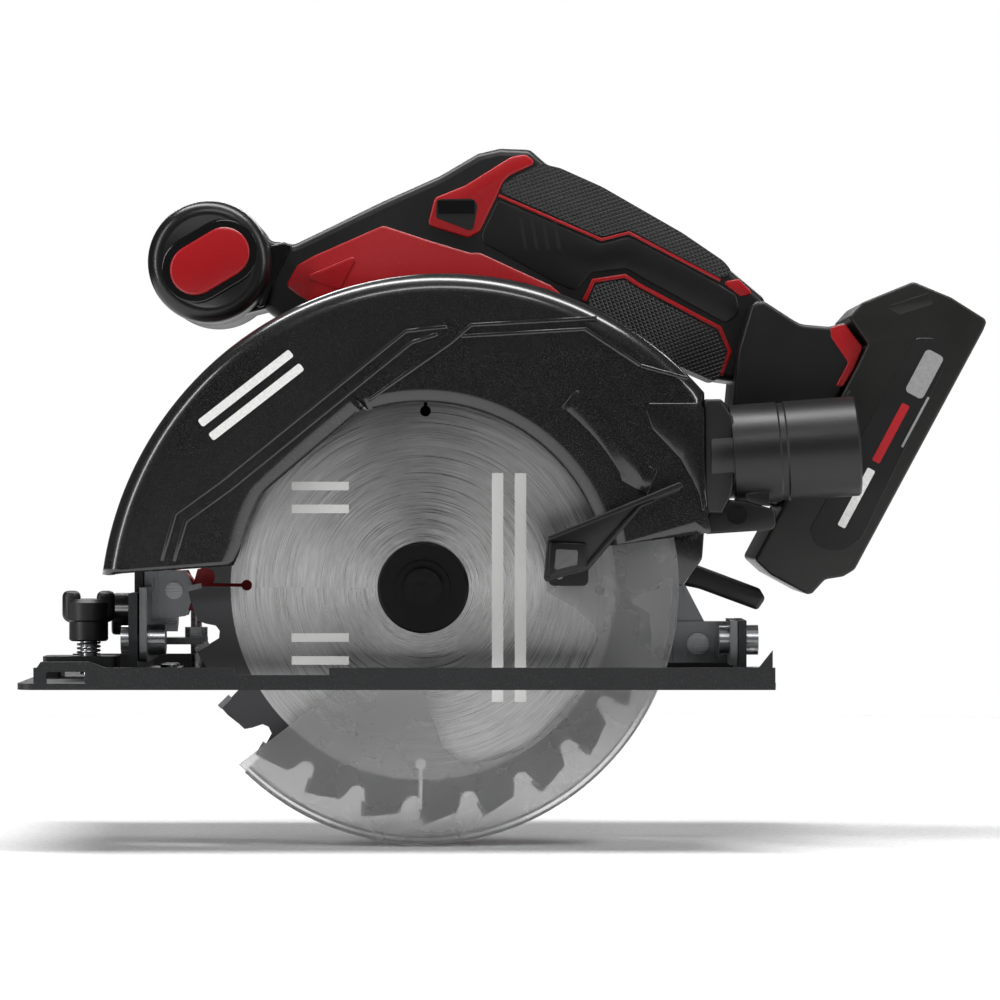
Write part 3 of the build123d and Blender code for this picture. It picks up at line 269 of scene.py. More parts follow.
def frosted_material():
    # frosted smoky polycarbonate: clear with a fine matt bite on its outer skin
    mat, tree, where = start("frosted polycarbonate")
    fine = grain(tree, where, 0.9, 3.0)
    streak = grain(tree, where, 22.0, 3.0)
    rough = ramp(tree, streak, 0.3, 0.7, 0.22, 0.34)
    bump = add(tree, "Bump", Strength=0.5, Distance=0.00002, Height=fine).outputs[0]
    shader = add(tree, "BsdfPrincipled", Base_Color=linear("#D6D6D6"), Roughness=rough, IOR=1.15,
                 Transmission_Weight=1.0, Normal=bump)
    veil = add(tree, "BsdfDiffuse", Color=linear("#E2E2E2"))
    mixed = add(tree, "MixShader", i0=0.15, i1=shader.outputs[0], i2=veil.outputs[0])
    close(tree, mixed.outputs[0])
    return mat


# glass-filled nylon straight from a spark-eroded tool
# the edge colours given to these three plastics are painted edge highlights
black_nylon = plastic("black nylon", "#101011", 0.36, 0.5, 0.02, edge="#2A2A2B")
deep_nylon = plastic("battery case plastic", "#11110F", 0.38, 0.45, 0.02, edge="#282724")
port_nylon = plastic("dust port plastic", "#121213", 0.40, 0.6, 0.03, edge="#282828")
# polished red housing inserts, satin from the mould
red_plastic = plastic("red moulded plastic", "#A80D16", 0.34, 0.8, 0.012, coat=0.25)
gloss_black = plastic("gloss black plastic", "#0E0E0F", 0.14, 3.0, 0.004, spread=0.03, coat=0.4)
# soft elastomer, moulded over the hard shell
soft_rubber = plastic("black elastomer", "#0F0F10", 0.33, 0.35, 0.012, coat=0.1)
knurl_rubber = knurled("knurled elastomer", "#19191A", 1.9, -28.0, 0.28)
knurl_lower = knurled("knurled elastomer, lower", "#1C1C1D", 1.9, -26.0, 0.28)
# pressed and cast metal with a textured black powder coat
guard_coat = coated_metal("guard powder coat", "#0B0B0C", 0.26, 0.55, 0.02, speck="#6A6A6C", coat=0.8)
base_coat = coated_metal("base powder coat", "#17181A", 0.38, 0.9, 0.02, speck="#4A4C4C")
red_coat = coated_metal("red paint on casting", "#A81820", 0.35, 1.0, 0.015)
# zinc plate, black oxide, ground carbide, greased gear steel
zinc = steel("zinc plated steel", "#B9BBBD", 0.30, 0.5, 0)
zinc_dark = steel("zinc plated bracket", "#8F9193", 0.34, 0.6, 2)
oxide = steel("black oxide steel", "#2A2A2B", 0.36)
carbide = steel("ground carbide", "#8C8C8E", 0.30, 0.3, 1)
gear_metal = steel("gear steel", "#8A8A8C", 0.28)
laminate = steel("varnished laminations", "#4A4B4D", 0.45, 0.5, 1)
copper = steel("tinned copper", "#B9855A", 0.3)
# printed film and ink
label_film = plastic("label film", "#1C1C1C", 0.30, 1.5, 0.004, coat=0.3)
white_ink = plastic("white ink", "#F0F0EE", 0.45, 1.0, 0.004)
grey_ink = plastic("grey ink", "#9A9A9A", 0.40, 1.0, 0.004)
red_ink = plastic("red ink", "#B51C25", 0.40, 1.0, 0.004)
# painted shade: a near-black sheet laid where a recess would lie in shade
painted_recess_shade = plastic("shadowed recess", "#070707", 0.6, 1.0, 0.01)
blade_steel = blade_material()
frosted = frosted_material()


# ---------------- mesh tools ----------------
def rounded(points, default=0.0, step=12.0):
    # closed outline with its corners turned into arcs; a point is (x, z) or (x, z, radius)
    out = []
    count = len(points)
    for i, point in enumerate(points):
        here = Vector(point[:2])
        radius = point[2] if len(point) > 2 else default
        before = Vector(points[i - 1][:2]) - here
        after = Vector(points[(i + 1) % count][:2]) - here
        if radius <= 0 or before.length < 1e-6 or after.length < 1e-6:
            out.append(tuple(here))
            continue
        corner = before.angle(after)
        if corner > radians(176):
            out.append(tuple(here))
            continue
        reach = radius / tan(corner / 2)
        limit = 0.48 * min(before.length, after.length)
        if reach > limit:
            reach = limit
            radius = reach * tan(corner / 2)
        a = here + before.normalized() * reach
        b = here + after.normalized() * reach
        centre = here + (before.normalized() + after.normalized()).normalized() * (radius / sin(corner / 2))
        start_angle = atan2(a.y - centre.y, a.x - centre.x)
        turn = atan2(b.y - centre.y, b.x - centre.x) - start_angle
        turn = (turn + pi) % (2 * pi) - pi
        pieces = max(2, int(abs(degrees(turn)) / step))
        for k in range(pieces + 1):
            angle = start_angle + turn * k / pieces
            out.append((centre.x + radius * cos(angle), centre.y + radius * sin(angle)))
    return out


def finish_mesh(name, bm, mat, smooth=35.0):
    bmesh.ops.remove_doubles(bm, verts=bm.verts, dist=1e-6)
    bmesh.ops.recalc_face_normals(bm, faces=bm.faces)
    mesh = bpy.data.meshes.new(name)
    bm.to_mesh(mesh)
    bm.free()
    for face in mesh.polygons:
        face.use_smooth = True
    mesh.set_sharp_from_angle(angle=radians(smooth))
    mesh.materials.append(mat)
    piece = bpy.data.objects.new(name.replace(" ", "_"), mesh)
    bpy.context.scene.collection.objects.link(piece)
    return piece


def to_frame(x, y, z):
    return Vector((x, y, z)) * 0.001


def slab_bmesh(outline, y0, y1, edge=0.0, segments=4, near_only=False):
    # an outline in the XZ plane drawn from y0 to y1, its two end edges rounded
    bm = bmesh.new()
    near = [bm.verts.new(to_frame(x, y0, z)) for x, z in outline]
    face = bm.faces.new(near)
    made = bmesh.ops.extrude_face_region(bm, geom=[face])
    for vert in [v for v in made["geom"] if isinstance(v, bmesh.types.BMVert)]:
        vert.co.y = y1 * 0.001
    bmesh.ops.recalc_face_normals(bm, faces=bm.faces)
    if edge > 0:
        flats = [f for f in bm.faces if abs(f.normal.y) > 0.9]
        if near_only:
            flats = [f for f in flats if abs(f.calc_center_median().y - y0 * 0.001) < 1e-6]
        edges = list({e for f in flats for e in f.edges})
        bmesh.ops.bevel(bm, geom=edges, offset=edge * 0.001, segments=segments, profile=0.5,
                        affect="EDGES", material=-1, clamp_overlap=True)
    return bm


def slab(name, points, y0, y1, mat, corner=0.0, edge=0.0, segments=4, near_only=False, smooth=35.0):
    bm = slab_bmesh(rounded(points, corner), y0, y1, edge, segments, near_only)
    return finish_mesh(name, bm, mat, smooth)


def ribbon_outline(points, width):
    # an open line of points widened to both sides, as a closed outline
    left, right = [], []
    count = len(points)
    for i, point in enumerate(points):
        here = Vector(point)
        ahead = (Vector(points[min(i + 1, count - 1)]) - here)
        behind = (here - Vector(points[max(i - 1, 0)]))
        run = ahead.normalized() if i == 0 else behind.normalized()
        if 0 < i < count - 1:
            run = (ahead.normalized() + behind.normalized()).normalized()
        side = Vector((-run.y, run.x)) * width / 2
        if 0 < i < count - 1:
            side = side / max(0.4, run.dot(ahead.normalized()))
        left.append(tuple(here + side))
        right.append(tuple(here - side))
    return left + right[::-1]


def ribbon(name, points, width, y0, y1, mat, edge=0.2):
    bm = slab_bmesh(ribbon_outline(points, width), y0, y1, edge, 2, near_only=False)
    return finish_mesh(name, bm, mat)


def lathe(name, profile, centre, axis, mat, steps=64, smooth=35.0):
    # profile of (distance along the axis, radius) turned about a line through centre
    bm = bmesh.new()
    verts = []
    for along, radius in profile:
        place = {"X": (along, radius, 0), "Y": (0, along, radius), "Z": (radius, 0, along)}[axis]
        verts.append(bm.verts.new(Vector(place) * 0.001))
    for a, b in zip(verts, verts[1:]):
        bm.edges.new((a, b))
    direction = {"X": (1, 0, 0), "Y": (0, 1, 0), "Z": (0, 0, 1)}[axis]
    bmesh.ops.spin(bm, geom=bm.verts[:] + bm.edges[:], cent=(0, 0, 0), axis=direction, angle=2 * pi,
                   steps=steps, use_duplicate=False)
    bmesh.ops.remove_doubles(bm, verts=bm.verts, dist=2e-6)
    bmesh.ops.translate(bm, verts=bm.verts, vec=to_frame(*centre))
    return finish_mesh(name, bm, mat, smooth)


def joined(name, pieces, mat):
    # several separate pieces as one object
    bm = bmesh.new()
    for piece in pieces:
        bm.from_mesh(piece.data)
    for piece in pieces:
        bpy.data.objects.remove(piece)
    return finish_mesh(name, bm, mat)


def mirrored_pair(name, build, mat):
    # build(side) makes a piece for the near side; the far one is its mirror about the parting plane
    near = build()
    bm = bmesh.new()
    bm.from_mesh(near.data)
    copy = bmesh.ops.duplicate(bm, geom=bm.verts[:] + bm.edges[:] + bm.faces[:])["geom"]
    for vert in [v for v in copy if isinstance(v, bmesh.types.BMVert)]:
        vert.co.y = 2 * handle_mid * 0.001 - vert.co.y
    bpy.data.objects.remove(near)
    return finish_mesh(name, bm, mat)


def place(piece, body, *stands_for):
    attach(piece, body)
    if stands_for:
        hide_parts(*stands_for)
    return piece


def polar(centre, radius, angle):
    return (centre[0] + radius * cos(radians(angle)), centre[1] + radius * sin(radians(angle)))


def arc(centre, radius, start, end, count):
    return [polar(centre, radius, start + (end - start) * i / count) for i in range(count + 1)]


# ---------------- upper guard ----------------
hub = (0.0, blade_z)
window_radius = 64.5


def guard_window_edge():
    # free edge of the near face, front to rear: the bottom step, the hub circle and its flat
    chord_a, chord_b = (-55.5, 67.3), (-19.5, 97.8)
    start = degrees(atan2(46.6 - blade_z, -62))
    first = arc(hub, window_radius, start, degrees(atan2(chord_a[1] - blade_z, chord_a[0])), 6)
    second = arc(hub, window_radius, degrees(atan2(chord_b[1] - blade_z, chord_b[0])), 13.0, 30)
    return [(-65.5, 42.2)] + first + [chord_b] + second


def resample(points, count):
    lengths = [0.0]
    for a, b in zip(points, points[1:]):
        lengths.append(lengths[-1] + hypot(b[0] - a[0], b[1] - a[1]))
    out = []
    k = 0
    for i in range(count + 1):
        want = lengths[-1] * i / count
        while k < len(points) - 2 and lengths[k + 1] < want:
            k += 1
        span = max(1e-9, lengths[k + 1] - lengths[k])
        f = (want - lengths[k]) / span
        out.append((points[k][0] + (points[k + 1][0] - points[k][0]) * f,
                    points[k][1] + (points[k + 1][1] - points[k][1]) * f))
    return out


def under(x):
    # lower edge of the guard ahead of the hub
    return 38.95 + (x + 112.0) * 3.1 / 46.5 if x < -65.5 else 0.0


def build_upper_guard():
    # one skin from the free edge of the near face, over the shoulder and the rim, down the far wall
    count = 90
    end_x = 99.9
    outer = arc(guard_centre, guard_radius - 0.05, 172.9, 40.8, 80)
    outer = resample(outer, count)
    inner = guard_window_edge() + [(66, 49.2)]
    inner = resample(inner, count)
    wall = 2.5
    shoulder = 7.0
    rows = []
    for i in range(count + 1):
        ox, oz = outer[i]
        ix, iz = inner[i]
        run = Vector((ox - guard_centre[0], oz - guard_centre[1])).normalized()
        row = []
        for t in range(8):
            f = t / 7
            sx = ox - run.x * shoulder
            sz = oz - run.y * shoulder
            row.append((ix + (sx - ix) * f, guard_near, iz + (sz - iz) * f))
        for t in range(1, 7):
            a = radians(90 * t / 6)
            back = shoulder * (1 - sin(a))
            row.append((ox - run.x * back, guard_near + shoulder * (1 - cos(a)), oz - run.y * back))
        row.append((ox, guard_far - 1.5, oz))
        row.append((ox - run.x * 0.45, guard_far - 0.45, oz - run.y * 0.45))
        row.append((ox - run.x * 1.5, guard_far, oz - run.y * 1.5))
        angle = 172.0 - (172.0 - 18.0) * i / count
        hx, hz = polar(hub, 29.0, angle)
        hz = max(hz, 45.5)
        row.append((hx, guard_far, hz))
        rows.append([(x, y, max(z, under(x))) for x, y, z in row])
    # the rear end closes with a flat strip below the end of the rim
    bm = bmesh.new()
    grid = [[bm.verts.new(to_frame(*p)) for p in row] for row in rows]
    for a, b in zip(grid, grid[1:]):
        for j in range(len(a) - 1):
            bm.faces.new((a[j], b[j], b[j + 1], a[j + 1]))
    last = rows[-1]
    steps = 8
    ends = []
    for k in range(1, steps + 1):
        f = k / steps
        strip = []
        for j, p in enumerate(last):
            x0, y0, z0 = p
            depth = min(1.0, j / 7.0)
            tx = x0 + (end_x - x0) * f if j >= 7 else x0 + (66 + (end_x - 66) * depth - x0) * f
            tz = z0 + ((49.2 + (53.6 - 49.2) * depth) - z0) * f
            if j == len(last) - 1:
                tx, tz = x0 + (70 - x0) * f, z0 + (50 - z0) * f
            strip.append(bm.verts.new(to_frame(min(tx, end_x), y0, tz)))
        ends.append(strip)
    chain = [grid[-1]] + ends
    for a, b in zip(chain, chain[1:]):
        for j in range(len(a) - 1):
            if len({v.co.to_tuple(6) for v in (a[j], b[j], b[j + 1], a[j + 1])}) >= 3:
                bm.faces.new((a[j], b[j], b[j + 1], a[j + 1]))
    bmesh.ops.remove_doubles(bm, verts=bm.verts, dist=5e-6)
    bmesh.ops.recalc_face_normals(bm, faces=bm.faces)
    outward = sum(1 if f.normal.y < 0 else -1 for f in bm.faces
                  if abs(f.calc_center_median().y - guard_near * 0.001) < 1e-5)
    if outward < 0:
        bmesh.ops.reverse_faces(bm, faces=bm.faces)
    mesh = bpy.data.meshes.new("guard skin")
    bm.to_mesh(mesh)
    bm.free()
    for face in mesh.polygons:
        face.use_smooth = True
    mesh.set_sharp_from_angle(angle=radians(30))
    mesh.materials.append(guard_coat)
    skin = bpy.data.objects.new("upper_guard_shell", mesh)
    bpy.context.scene.collection.objects.link(skin)
    solid = skin.modifiers.new("wall", "SOLIDIFY")
    solid.thickness = wall * 0.001
    solid.offset = -1
    return skin


def build_guard_details():
    # raised ribs, the cast arrow and two plain equal stripes on the guard's near face
    face = guard_near
    lines = [
        [(-90.2, 43.6), (-85.6, 60.1), (-69.4, 71.8), (-5.7, 123.4), (8.5, 124.9)],
        [(-86.0, 43.4), (-81.9, 57.6), (-66.2, 68.9), (-3.9, 119.4), (5.2, 122.4)],
        [(-18.8, 99.4), (9.5, 119.2), (16.8, 125.5), (60.4, 127.9)],
        [(13.3, 121.6), (56.3, 124.1), (75.5, 111.4)],
        [(75.5, 111.4), (92.0, 106.9)],
    ]
    ribs = [ribbon("rib", line, 1.5, face - 0.65, face + 0.2, guard_coat, 0.45) for line in lines]
    sweep_out = arc(hub, 87.2, 52.5, 30.5, 12)
    sweep_in = arc(hub, 79.2, 30.5, 52.5, 12)
    head = [(81.5, 75.2), (77.8, 66.4), (69.0, 71.6)]
    arrow = slab("arrow", sweep_out + head + sweep_in, face - 0.75, face + 0.2, guard_coat, 0.0, 0.4, 2)
    rear = slab("rear pad", [(76.5, 98.6, 2), (97.5, 98.6, 3), (97.8, 56.0, 3), (95.6, 67.5, 8), (89.5, 79.0,
            8), (79.5, 89.5, 4)], face - 0.7, face + 0.2, guard_coat, 0.0, 0.45, 2)
    raised = joined("guard ribs", ribs + [arrow, rear], guard_coat)
    place(raised, "head")
    bars = []
    stripe_slope, stripe_length, stripe_width = 38, 40.0, 3.0
    run = Vector((cos(radians(stripe_slope)), sin(radians(stripe_slope))))
    rise = Vector((-run.y, run.x))
    start = Vector((-70.5, 83.0))
    for lift in (3.0, 9.0):
        a = start + rise * lift
        b = a + run * stripe_length
        top_a = a + rise * stripe_width
        top_b = b + rise * stripe_width
        bars.append(slab("bar", [tuple(a), tuple(b), tuple(top_b), tuple(top_a)], face - 0.14, face + 0.1,
                         white_ink, 0.8, 0.05, 1))
    place(joined("guard mark", bars, white_ink), "head")


guard_shell = build_upper_guard()
place(guard_shell, "head", "upper_guard")
build_guard_details()
lug = slab("depth lock lug", [(66, 58), (99, 58), (98, 44), (91, 34.5), (77, 34.5), (70, 42)],
           guard_far - 2.5, guard_far, guard_coat, 3.0, 0.5, 2)
place(lug, "head")


# ---------------- housing and handle ----------------
def housing_outline():
    top = [(-54, 157.5, 4), (-46.7, 156.6, 3), (-38, 160.8, 6), (-15, 172, 30), (5.2, 181, 20), (19, 189.1,
            6), (27, 190.9, 5), (37.7, 190.5, 4), (43.5, 185.4, 5), (62.9, 176.7, 30), (91.8, 160.1, 30),
           (106.2, 150, 20), (122.4, 136.4, 5)]
    foot = [(116.3, 106.2, 3), (104.7, 107.8, 5), (91.8, 113.1, 12), (70, 117.7, 10), (54.2, 118.6, 6)]
    front = [(49, 110, 8), (45.8, 80, 10), (35.8, 40.2, 12), (5, 28.2, 14), (-19.8, 48.2, 14), (-27.8, 95,
            20), (-43.8, 124.2, 10), (-57.8, 133.2, 3)]
    return rounded(top + foot + front, 0, 10)


def build_housing():
    # two mirrored shells that meet at the parting plane, their outer edges well rounded
    for side, body_node in ((1, "housing_left"), (-1, "housing_right")):
        y0 = handle_near if side == 1 else handle_mid + handle_half
        bm = slab_bmesh(housing_outline(), y0, handle_mid - 0.12 * side, 0.0)
        flat = [f for f in bm.faces if abs(f.calc_center_median().y - y0 * 0.001) < 1e-6]
        edges = list({e for f in flat for e in f.edges})
        bmesh.ops.bevel(bm, geom=edges, offset=0.0052, segments=5, profile=0.5, affect="EDGES", material=-1,
                        clamp_overlap=True)
        shell = finish_mesh("handle shell " + body_node, bm, black_nylon, 40)
        place(shell, "head", body_node)


def dock_outline():
    return rounded([(117, 137.8, 4), (133.2, 127.3, 8), (143.7, 126.4, 4), (149.1, 127.9, 2), (155.9, 119.2,
            1.5), (152.5, 112, 1), (126, 62.2, 3), (118, 64.2, 4), (112.2, 76, 10), (109.2, 97, 8), (111.2,
            118, 10)], 0, 12)


def build_dock():
    bm = slab_bmesh(dock_outline(), dock_near, dock_far, 3.2, 4)
    place(finish_mesh("battery dock", bm, black_nylon), "head")
    collar = lathe("motor collar", [(handle_near, 31.5), (handle_near, 34.0), (handle_near + 1, 35.0),
                                    (handle_near + 35, 35.0), (handle_near + 36, 34.0),
                                    (handle_near + 36, 31.5)], (11.25, 0, 53.79), "Y", black_nylon)
    place(collar, "head")


def face_plate(name, points, mat, proud, depth, corner, edge, half=handle_half, segments=3):
    # a plate let into both side faces of the handle
    def build():
        return slab(name, points, handle_mid - half - proud, handle_mid - half + depth, mat, corner, edge,
                    segments, near_only=True)
    return mirrored_pair(name, build, mat)


def build_panels():
    panel = face_plate("side panel", [(-50.0, 141.5, 2), (-45.8, 149.2, 4), (-40, 152.4, 3), (-15, 163.4, 4),
                                      (1.8, 157.9, 3), (16.1, 153.6, 3), (19.7, 153.6, 3), (45.3, 141.8, 3),
                                      (51.5, 136.5, 2), (47.6, 124.2, 2), (-20, 124.2, 2), (-45.6, 138, 3)],
                       red_plastic, 0.38, 2.2, 1.5, 1.0)
    place(panel, "head", "side_panels")
    relief = face_plate("panel relief", [(-43.4, 144.6), (-23.4, 153.0), (-30.4, 139.9)], red_plastic, 0.85,
                        0.2, 1.2, 0.4)
    place(relief, "head")
    outline = [(0.9, 163.2, 2), (3.4, 173.0, 2.5), (14.3, 177.4, 8), (31, 187.8, 6), (36, 188.6, 2.5),
               (40.3, 185.5, 2), (28.6, 180.1, 8), (25.8, 173.7, 6), (19.6, 160.9, 2.5), (15.6, 158.6, 2)]
    bezel = face_plate("lock-off bezel", outline, red_plastic, 0.75, 1.2, 1.5, 0.7)
    place(bezel, "head", "lock_off_bezels")
    # painted shade: a dark sheet on the bezel stands for the lock-off pocket
    pocket = face_plate("lock-off pocket", [(3.9, 165.8, 1), (4.2, 172.5, 1.5), (17.2, 172.7, 2), (18.9,
            170.2, 1.5), (17.4, 162.0, 1.5), (16.0, 161.2, 1)], painted_recess_shade, 0.78, 0.1, 1.0, 0.0)
    place(pocket, "head")
    # smooth black middle of the handle, with four slanted grooves drawn as dark sheets of painted shade
    middle = face_plate("handle middle", [(26.2, 172.8, 1.5), (19.9, 159.6, 4), (21.2, 156.6, 3), (46.8,
            142.4, 4), (54.0, 139.4, 3), (59.2, 146.0, 3), (72.0, 147.6, 4), (77.6, 144.2, 4), (107.5, 127.9,
            3), (113.0, 131.5, 6), (111.4, 138.4, 2), (105.0, 142.2, 3), (73.0, 159.4, 4), (63.0, 156.7, 4)],
                        black_nylon, 0.35, 1.0, 1.5, 0.6)
    place(middle, "head")
    grooves = []
    for k in range(4):
        x = 33.4 + 4.0 * k
        grooves.append([(x, 166.0), (x + 1.5, 165.3), (x + 3.5, 154.0), (x + 1.9, 154.9)])

    def build_grooves():
        pieces = [slab("groove", g, handle_near - 0.42, handle_near - 0.1, painted_recess_shade, 0.4, 0.0)
                  for g in grooves]
        return joined("handle grooves", pieces, painted_recess_shade)
    place(mirrored_pair("handle grooves", build_grooves, painted_recess_shade), "head")
    trim = face_plate("dock trim", [(143.9, 126.0, 0.8), (149.0, 127.5, 1.5), (155.5, 119.0, 1.5), (152.2,
            111.2, 1), (148.5, 105, 1), (145.8, 105.2, 0.5), (150.3, 113.5, 1.5), (144.2, 122.5, 1)],
                      red_plastic, 0.35, 1.0, 0.8, 0.4, (dock_far - dock_near) / 2)
    cap = face_plate("grip end cap", [(105.8, 143.0), (112.2, 144.0), (117.8, 138.6), (112.8, 137.6)],
                     red_plastic, 0.38, 1.2, 1.0, 0.5)
    place(joined("red trims", [trim, cap], red_plastic), "head", "red_trims")


def saddle(name, outline_points, mat, spine, corner):
    # elastomer skin over both sides and one edge of the handle, its outer edges rounded
    bm = slab_bmesh(rounded(outline_points, corner, 8), handle_near - 0.55, handle_mid + handle_half + 0.55,
                    0.0)
    lines = []
    for e in bm.edges:
        mid = (e.verts[0].co + e.verts[1].co) / 2
        along = abs(e.verts[0].co.y - e.verts[1].co.y) < 1e-6
        if along and spine(mid.x * 1000, mid.z * 1000):
            lines.append(e)
    bmesh.ops.bevel(bm, geom=lines, offset=0.0048, segments=6, profile=0.5, affect="EDGES", material=-1,
                    clamp_overlap=True)
    return finish_mesh(name, bm, mat, 40)


def build_grips():
    upper = saddle("upper grip", [(27.6, 177.6, 1.5), (33, 181.0, 3), (41.5, 185.2, 3), (48.3, 183.7, 8),
                                  (63.3, 177.0, 30), (92.2, 160.4, 30), (107, 150.3, 10), (110.4, 146.0, 2),
                                  (105.6, 144.2, 4), (73.0, 161.6, 4), (63, 159.1, 4), (27.3, 174.8, 1.5)],
                   knurl_rubber, lambda x, z: z > 146.5 and z > 186.5 - 0.53 * (x - 40)
                   if x > 40 else z > 181, 1.0)
    place(upper, "head", "upper_grip")
    lower = saddle("lower grip", [(58.4, 135.9, 2), (61.0, 142.2, 3), (71.4, 143.8, 3), (75.8, 140.6, 4),
                                  (104.4, 125.4, 4), (107.8, 117.9, 4), (105.4, 108.2, 3), (102.8, 107.6, 3),
                                  (91.6, 112.5, 14), (79.5, 115.3, 6), (60.5, 123.5, 3)],
                   knurl_lower, lambda x, z: z < 119 and x < 104, 1.0)
    place(lower, "head", "lower_grip")

    def build_lines():
        first = ribbon("grip line", [(26.3, 173.9), (63.1, 158.0), (73.0, 160.5), (105.7, 143.4)], 1.1,
                       handle_near - 0.62, handle_near + 0.3, red_plastic, 0.2)
        second = ribbon("grip frame", [(57.0, 136.2), (60.3, 143.3), (71.6, 145.0), (76.4, 141.8),
                                       (105.4, 126.4), (109.0, 118.0), (106.0, 109.5)], 1.5,
                        handle_near - 0.62, handle_near + 0.3, red_plastic, 0.25)
        return joined("grip lines", [first, second], red_plastic)
    place(mirrored_pair("grip lines", build_lines, red_plastic), "head")


def build_front_handle():
    # a bar across the front, rubber sleeved, with a racetrack pad let into each end
    x, z, r = -76.5, 149.5, 21.9
    y0, y1 = handle_mid - 33.0, handle_mid + 33.0
    profile = [(y0 + 0.4, 0), (y0 + 0.4, 15.6), (y0 + 0.1, 16.2)]
    profile += [(y0 + 5 - 5 * sin(radians(a)), r - 5 + 5 * cos(radians(a))) for a in range(85, -1, -12)]
    mirror = [(2 * handle_mid - along, radius) for along, radius in reversed(profile)]
    waist = [(y0 + 16, r), (y0 + 22, r - 0.6), (y1 - 22, r - 0.6), (y1 - 16, r)]
    body = lathe("front handle", profile + waist + mirror, (x, 0, z), "Y", soft_rubber, 72)
    neck = slab("front handle neck", [(-72, 168.4, 4), (-60.5, 162.0, 6), (-54.5, 157.6, 3), (-49.9, 157.2,
            2), (-53.6, 134.2, 3), (-60, 132.6, 5), (-70, 130.2, 3)], handle_near + 1.2,
                handle_mid + handle_half - 1.2, soft_rubber, 2, 3.5, 4)
    place(body, "head", "front_handle")
    place(neck, "head")
    ridge = slab("neck step", [(-55.5, 156.0, 2), (-50.3, 157.3, 1), (-46.9, 156.0, 2), (-50.6, 148.8, 2),
                               (-54.6, 141.0, 2), (-57.0, 134.4, 2), (-60.6, 133.4, 1)], handle_near - 0.3,
                 handle_near + 3, gloss_black, 1.5, 0.8, 3, near_only=True)
    place(ridge, "head")

    def racetrack(radius, reach):
        a, b = (x - 4.8 * reach, z - 3.0 * reach), (x + 5.6 * reach, z + 3.2 * reach)
        tilt = degrees(atan2(b[1] - a[1], b[0] - a[0]))
        return arc(a, radius, tilt + 90, tilt + 270, 14) + arc(b, radius, tilt + 270, tilt + 450, 14)

    def build_pad():
        pad = slab_bmesh(racetrack(9.2, 1.0), y0 - 0.45, y0 + 1.5, 1.1, 4, near_only=True)
        return finish_mesh("pad", pad, red_plastic)
    place(mirrored_pair("front handle pads", build_pad, red_plastic), "head", "front_handle_pads")

    def build_ring():
        ring = slab_bmesh(racetrack(12.4, 1.0), y0 - 0.02, y0 + 1.5, 1.2, 4, near_only=True)
        return finish_mesh("ring", ring, gloss_black)
    place(mirrored_pair("front handle rings", build_ring, gloss_black), "head")


build_housing()
build_dock()
build_panels()
build_grips()
build_front_handle()


# ---------------- dust port, levers and knobs ----------------
def build_dust_port():
    # moulded tube with a thickened mouth, run out of a square root on the guard's end
    slope = radians(4.2)
    root_x, root_z, mid_y = 100.0, 80.0, -1.0
    profile = [(8, 15.1), (8, 17.3), (10, 17.45), (24, 17.45), (24.6, 17.0), (26.4, 17.0), (27, 17.45),
               (51.2, 17.45), (51.9, 16.9), (51.9, 15.6), (51.4, 15.15), (-3, 15.15)]
    tube = lathe("dust port tube", profile + [(8, 15.1)], (0, 0, 0), "X", port_nylon, 72, 30)
    turn = Matrix.Translation(to_frame(root_x, mid_y, root_z)) @ Matrix.Rotation(-slope, 4, "Y")
    tube.data.transform(turn)
    keep_right = bmesh.new()
    keep_right.from_mesh(tube.data)
    bmesh.ops.bisect_plane(keep_right, geom=keep_right.verts[:] + keep_right.edges[:] + keep_right.faces[:],
                                 plane_co=to_frame(100.15, 0, 0), plane_no=(1, 0, 0), clear_inner=True)
    keep_right.to_mesh(tube.data)
    keep_right.free()
    place(tube, "head", "dust_port")
    # the square root, drawn as a frame with a tapered near face
    ring_out = [(97.6, 60.2), (97.6, 99.8), (103.4, 99.9), (107.6, 93.5), (108.8, 84), (108.8, 76), (107.0,
            66.5), (104.0, 60.2)]
    for name, y0, y1 in (("port root near", -14.9, -11.5), ("port root far", 9.0, 11.9)):
        place(slab(name, ring_out, y0, y1, port_nylon, 1.5, 0.9, 3), "head")
    place(slab("port root top", [(97.6, 96.6), (97.6, 99.9), (103.5, 99.9), (107.0, 96.6)], -12.0, 9.5,
               port_nylon, 0.8, 0.4, 2), "head")
    place(slab("port root foot", [(97.6, 60.2), (97.6, 63.4), (106.6, 63.4), (104.4, 60.2)], -12.0, 9.5,
               port_nylon, 0.8, 0.4, 2), "head")
    tab = slab("port tab", [(98.0, 53.0, 1), (122.6, 54.6, 2.5), (122.3, 61.6, 2.5), (112.5, 64.5, 3),
                            (98.0, 65.8, 1)], -12.9, -9.1, port_nylon, 1, 0.7, 3)
    place(tab, "head")
    gusset = slab("port gusset", [(112, 63.5), (120.5, 62.8), (120.5, 68.5), (112, 67)], -12.0, -9.6,
                  port_nylon, 0.6, 0.3, 2)
    place(gusset, "head")


def screw_head(name, place_at, axis, sign, radius, height, mat, socket=2.0):
    # domed head with a hexagon or star recess, at place_at, its top towards sign along the axis
    profile = [(0, radius), (height * 0.45 * sign, radius), (height * 0.85 * sign, radius * 0.82),
               (height * sign, radius * 0.62), (height * sign, socket), (height * 0.45 * sign, socket * 0.96),
               (height * 0.45 * sign, 0)]
    profile = [(0, 0)] + profile
    return lathe(name, profile, place_at, axis, mat, 24)


def build_guard_screw():
    head = screw_head("port screw", (109.2, -12.9, 59.7), "Y", -1, 3.25, 1.8, oxide, 1.5)
    place(head, "head")


